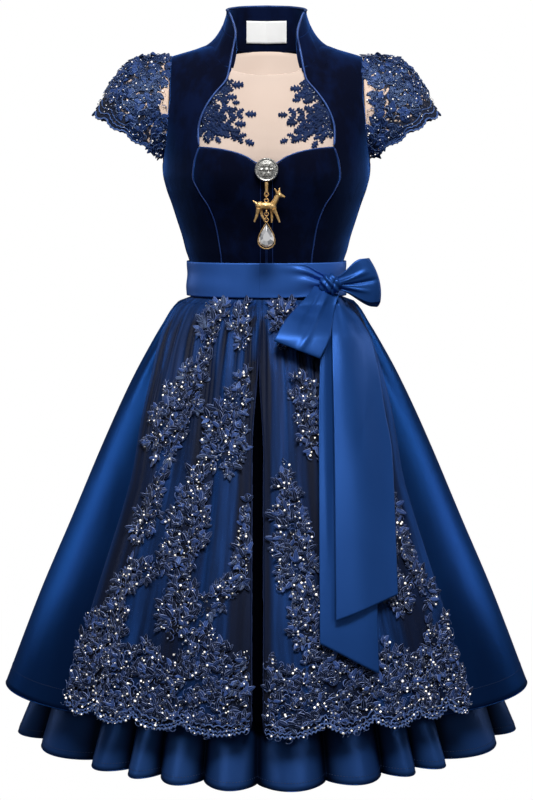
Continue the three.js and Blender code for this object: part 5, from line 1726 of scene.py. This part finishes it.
pair(
    "sleeve_net", sleeve, (150, 40), SLEEVE_NET, NET, "lace", "cap_sleeve", "gathered",
    marks={"lace": sleeve_dense},
)

# Cords along each cuff: how far up the sleeve, their radius and the depth of their scallops.
CUFF_CORDS = ((0.0, 1.5, 1.8), (0.045, 1.0, 1.2), (0.09, 0.8, 0.0))


def sleeve_work(side, surface):
    flip = side == "right"
    cover = lambda u, v: (
        (sleeve_cover(1 - u if flip else u, v) > 0.6 * (random.random(len(u)) > 0.12))
        & (v > 0.17) & (v < 0.975)
    )
    u, v = lace_spots(surface, 60000, 12.4, cover)
    n = len(u)
    turn = math.pi * (random.random(n) > 0.5) + math.pi / 2
    turn = turn + 2.0 * (random.random(n) - 0.5) * np.minimum(1, v * 3)
    leaves = lay_twigs(
        f"sleeve_leaves_{side}", surface, u, v, turn, long=7.8, wide=4.3, material=SLEEVE_LEAF, stand=0.3,
        low=0.8,
    )
    settle(leaves, "lace")
    u, v = lace_spots(surface, 30000, 12, cover)
    settle(lay_curls(f"sleeve_curls_{side}", surface, u, v, 5.4, SLEEVE_CORD), "lace")
    u, v = lace_spots(surface, 20000, 10, lambda u, v: (v > 0.06) & (v < 0.97))
    settle(lay_beads(f"sleeve_beads_{side}", surface, u, v, 1.1, 3.2), "lace")
    t = np.linspace(0.004, 0.996, 500)
    lines = []
    for k, (level, radius, picot) in enumerate(CUFF_CORDS):
        spot, _, up, out = frame_on(surface, t, np.full_like(t, level))
        wave = picot * np.abs(np.sin(math.pi * SLEEVE_SCALLOPS * 5 * t))
        lines.append(cord(f"cuff_{side}_{k}", spot + out + up * wave[:, None], radius, 500, HEM_CORD, 6))
    settle(join(f"cuff_cords_{side}", lines), "lace")


sleeve_work("left", sleeve)
sleeve_work("right", mirrored(sleeve))

# ---- Lace on the yoke ----

# Twigs of leaves on the yoke, as (x, z) of the foot and the tip, the leaf pairs and the leaf's length.
YOKE_TWIGS = [
    (73, -50, 42, -49, 2, 15), (82, -62, 50, -62, 2, 16), (88, -72, 42, -72, 2, 11),
    (101, -92, 19, -95, 5, 15), (102, -104, 34, -108, 4, 16), (100, -112, 42, -120, 3, 16),
    (86, -110, 23, -139, 5, 13), (74, -112, 46, -130, 2, 13), (90, -118, 74, -140, 2, 12),
    (102, -96, 60, -84, 3, 15), (104, -116, 92, -128, 1, 12), (104, -84, 80, -80, 1, 14),
]
YOKE_SWAY = 5  # how much a twig bends sideways
YOKE_BEADS = 60  # on each side


def yoke_surface(sign):
    """The yoke in plain millimetres: u is x and v is z."""
    return lambda u, v: body_at(sign * u, v, "front", YOKE_INSET)


def yoke_work(side, sign):
    places, sizes, heights = [], [], []

    def leaf(x, z, turn, long, height):
        places.append((x, z, turn))
        sizes.append((long * 1.12, long * 1.1, long * 0.8))
        heights.append(height)

    for x0, z0, x1, z1, pairs, long in YOKE_TWIGS:
        jitter = 4 * (random.random(4) - 0.5)
        x0, z0, x1, z1 = x0, z0 + jitter[1], x1 + jitter[2], z1 + jitter[3]
        sway = YOKE_SWAY * (2 * random.random() - 1)
        length = math.hypot(x1 - x0, z1 - z0)
        ahead = math.atan2(x1 - x0, z1 - z0)
        for k in range(pairs + 1):
            share = k / (pairs + 0.35) * (1 - 0.75 * long / length)
            bow = sway * math.sin(math.pi * share)
            x, z = mix(x0, x1, share), mix(z0, z1, share) + bow
            grown = long * mix(1.15, 0.85, share) * (0.88 + 0.24 * random.random())
            height = 0.7 + 0.9 * random.random()
            if k == pairs:
                leaf(x, z, ahead, grown * 1.05, height + 0.8)
                continue
            for tilt in (0.72, -0.72):
                leaf(x, z, ahead + tilt * (0.8 + 0.4 * random.random()), grown * 0.92, height)
    places = np.array(places)
    u, v = places[:, 0], places[:, 1]
    surface = yoke_surface(sign)
    spot = surface(u, v)
    step = 0.5
    right = unit(surface(u + step, v) - surface(u - step, v))
    up = unit(surface(u, v + step) - surface(u, v - step))
    out = unit(np.cross(right, up)) * sign
    across, ahead = turned(right, up, places[:, 2])
    lifted = spot + out * np.array(heights)[:, None]
    leaves = scatter(
        f"yoke_leaves_{side}", LOBED_LEAF, lifted, across, ahead, out, np.array(sizes), YOKE_LEAF
    )
    if sign < 0:
        change_mesh(leaves.data, lambda bm: bmesh.ops.reverse_faces(bm, faces=bm.faces))
    settle(leaves, "lace", (f"yoke_lace_{side}",))
    n = YOKE_BEADS
    z = random.uniform(-130, -42, n)
    x = KEYHOLE_X.read("x", z) - random.uniform(2, 13, n)
    spot = surface(x, z)
    flat = np.tile(np.eye(3), (n, 1, 1))
    size = (0.5 + 0.45 * random.random(n))[:, None] * np.ones(3)
    beads = scatter(
        f"yoke_beads_{side}", BEAD, spot + np.array([0, -3.0, 0]), flat[:, 0], flat[:, 1], flat[:, 2], size,
        BEADS, 0.1 + 0.62 * random.random(n),
    )
    settle(beads, "lace")


yoke_work("left", 1)
yoke_work("right", -1)

# ---- Button, fawn and drop ----


def smooth_copy(name, node, voxel, material, rounds, fuller=0.0):
    """A smooth casting on the form of a faceted solid. It can be made a little fuller all round."""
    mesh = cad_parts[node].data.copy()
    mesh.name = name
    mesh.materials.clear()
    merge_doubles(mesh, 1e-5)
    piece = new_piece(name, mesh, material)
    remesh = piece.modifiers.new("cast", "REMESH")
    remesh.mode = "VOXEL"
    remesh.voxel_size = voxel * MM
    remesh.use_smooth_shade = True
    soften = piece.modifiers.new("soften", "SMOOTH")
    soften.factor = 0.5
    soften.iterations = rounds
    if fuller:
        swell = piece.modifiers.new("fuller", "DISPLACE")
        swell.strength = fuller * MM
        swell.mid_level = 0.0
    return piece


settle(smooth_copy("gilded_fawn", "fawn_charm", 0.32, GILT, 3, 0.4), "gilt", ("fawn_charm",))
settle(smooth_copy("gilded_links", "drop_links", 0.2, GILT, 2), "gilt", ("drop_links",))
settle(smooth_copy("gilded_setting", "drop_setting", 0.25, GILT, 2), "gilt", ("drop_setting",))
settle(smooth_copy("relief_button", "silver_button", 0.3, SILVER, 1), "silver", ("silver_button",))

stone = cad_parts["drop_stone"]
stone.data.materials.clear()
stone.data.materials.append(CRYSTAL)

# ---- Floor, light and camera ----


STAGE_GLOW = 1.0
FLOOR_Z, FLOOR_RADIUS, BACKDROP_RADIUS = -1.4, 9, 14  # in metres


def stage_material(name):
    material = bpy.data.materials.new(name)
    material.use_nodes = True
    nodes = material.node_tree.nodes
    nodes.remove(next(n for n in nodes if n.type == "BSDF_PRINCIPLED"))
    glow = nodes.new("ShaderNodeEmission")
    glow.inputs["Strength"].default_value = STAGE_GLOW
    output = next(n for n in nodes if n.type == "OUTPUT_MATERIAL")
    material.node_tree.links.new(glow.outputs["Emission"], output.inputs["Surface"])
    return material


def stage_piece(name, make):
    """Floor or backdrop: pale, and lit by itself so that it throws no light on the dress."""
    bm = bmesh.new()
    make(bm)
    piece = new_piece(name, mesh_of(name, bm), stage_material(name))
    piece.visible_diffuse = piece.visible_glossy = piece.visible_transmission = piece.visible_shadow = False


def floor_shape(bm):
    bmesh.ops.create_circle(bm, cap_ends=True, segments=64, radius=FLOOR_RADIUS)
    bmesh.ops.translate(bm, vec=(0, 0, FLOOR_Z), verts=bm.verts)


def backdrop_shape(bm):
    bmesh.ops.create_icosphere(bm, subdivisions=3, radius=BACKDROP_RADIUS)
    bmesh.ops.reverse_faces(bm, faces=bm.faces)


stage_piece("floor", floor_shape)
stage_piece("backdrop", backdrop_shape)


def softbox(name, place, aim, size, power):
    light = bpy.data.lights.new(name, "AREA")
    light.shape = "RECTANGLE"
    light.size, light.size_y = size
    light.energy = power
    lamp = bpy.data.objects.new(name, light)
    bpy.context.scene.collection.objects.link(lamp)
    lamp.location = place
    direction = np.array(aim, float) - np.array(place, float)
    flat = math.hypot(direction[0], direction[1])
    lamp.rotation_euler = (math.atan2(flat, -direction[2]), 0, math.atan2(-direction[0], direction[1]))


# Softboxes: name, place, what they point at, width and height, all in metres, and power in watts.
SOFTBOXES = [
    ("left_rim_box", (-3.0, 1.7, 0.5), (0, 0, -0.6), (0.5, 2.4), 18),
    ("right_rim_box", (3.0, 1.7, 0.5), (0, 0, -0.6), (0.5, 2.4), 17),
    ("left_box", (-2.3, -2.5, 0.9), (0, 0, -0.6), (0.6, 1.4), 9),
    ("right_box", (2.3, -2.5, 0.9), (0, 0, -0.6), (0.6, 1.4), 7),
    ("high_box", (0.3, -2.5, 2.9), (0, 0, -0.4), (1.9, 1.2), 180),
    ("back_box", (0.0, 3.6, 2.2), (0, 0, -0.6), (2.2, 0.8), 6),
    ("top_box", (0.0, 0.4, 2.8), (0, 0, 0), (1.6, 1.6), 10),
]
for box in SOFTBOXES:
    softbox(*box)

ROOM_LIGHT = (0.93, 0.96, 1.0, 1)
ROOM_STRENGTH = 0.06
world = bpy.data.worlds.new("studio")
world.use_nodes = True
world.node_tree.nodes["Background"].inputs["Color"].default_value = ROOM_LIGHT
world.node_tree.nodes["Background"].inputs["Strength"].default_value = ROOM_STRENGTH
bpy.context.scene.world = world

CAMERA_PLACE = (0.0, -3.1, -0.192)
CAMERA_TILT = 6.49  # degrees below the horizon
CAMERA_LENS = 87.19
CAMERA_SENSOR = 36
camera_data = bpy.data.cameras.new("camera")
camera_data.lens = CAMERA_LENS
camera_data.sensor_width = CAMERA_SENSOR
camera_data.sensor_fit = "AUTO"
camera_data.dof.use_dof = False
camera = bpy.data.objects.new("camera", camera_data)
bpy.context.scene.collection.objects.link(camera)
camera.location = CAMERA_PLACE
camera.rotation_euler = (math.radians(90 - CAMERA_TILT), 0, 0)
bpy.context.scene.camera = camera
bpy.context.scene.view_settings.view_transform = "Standard"
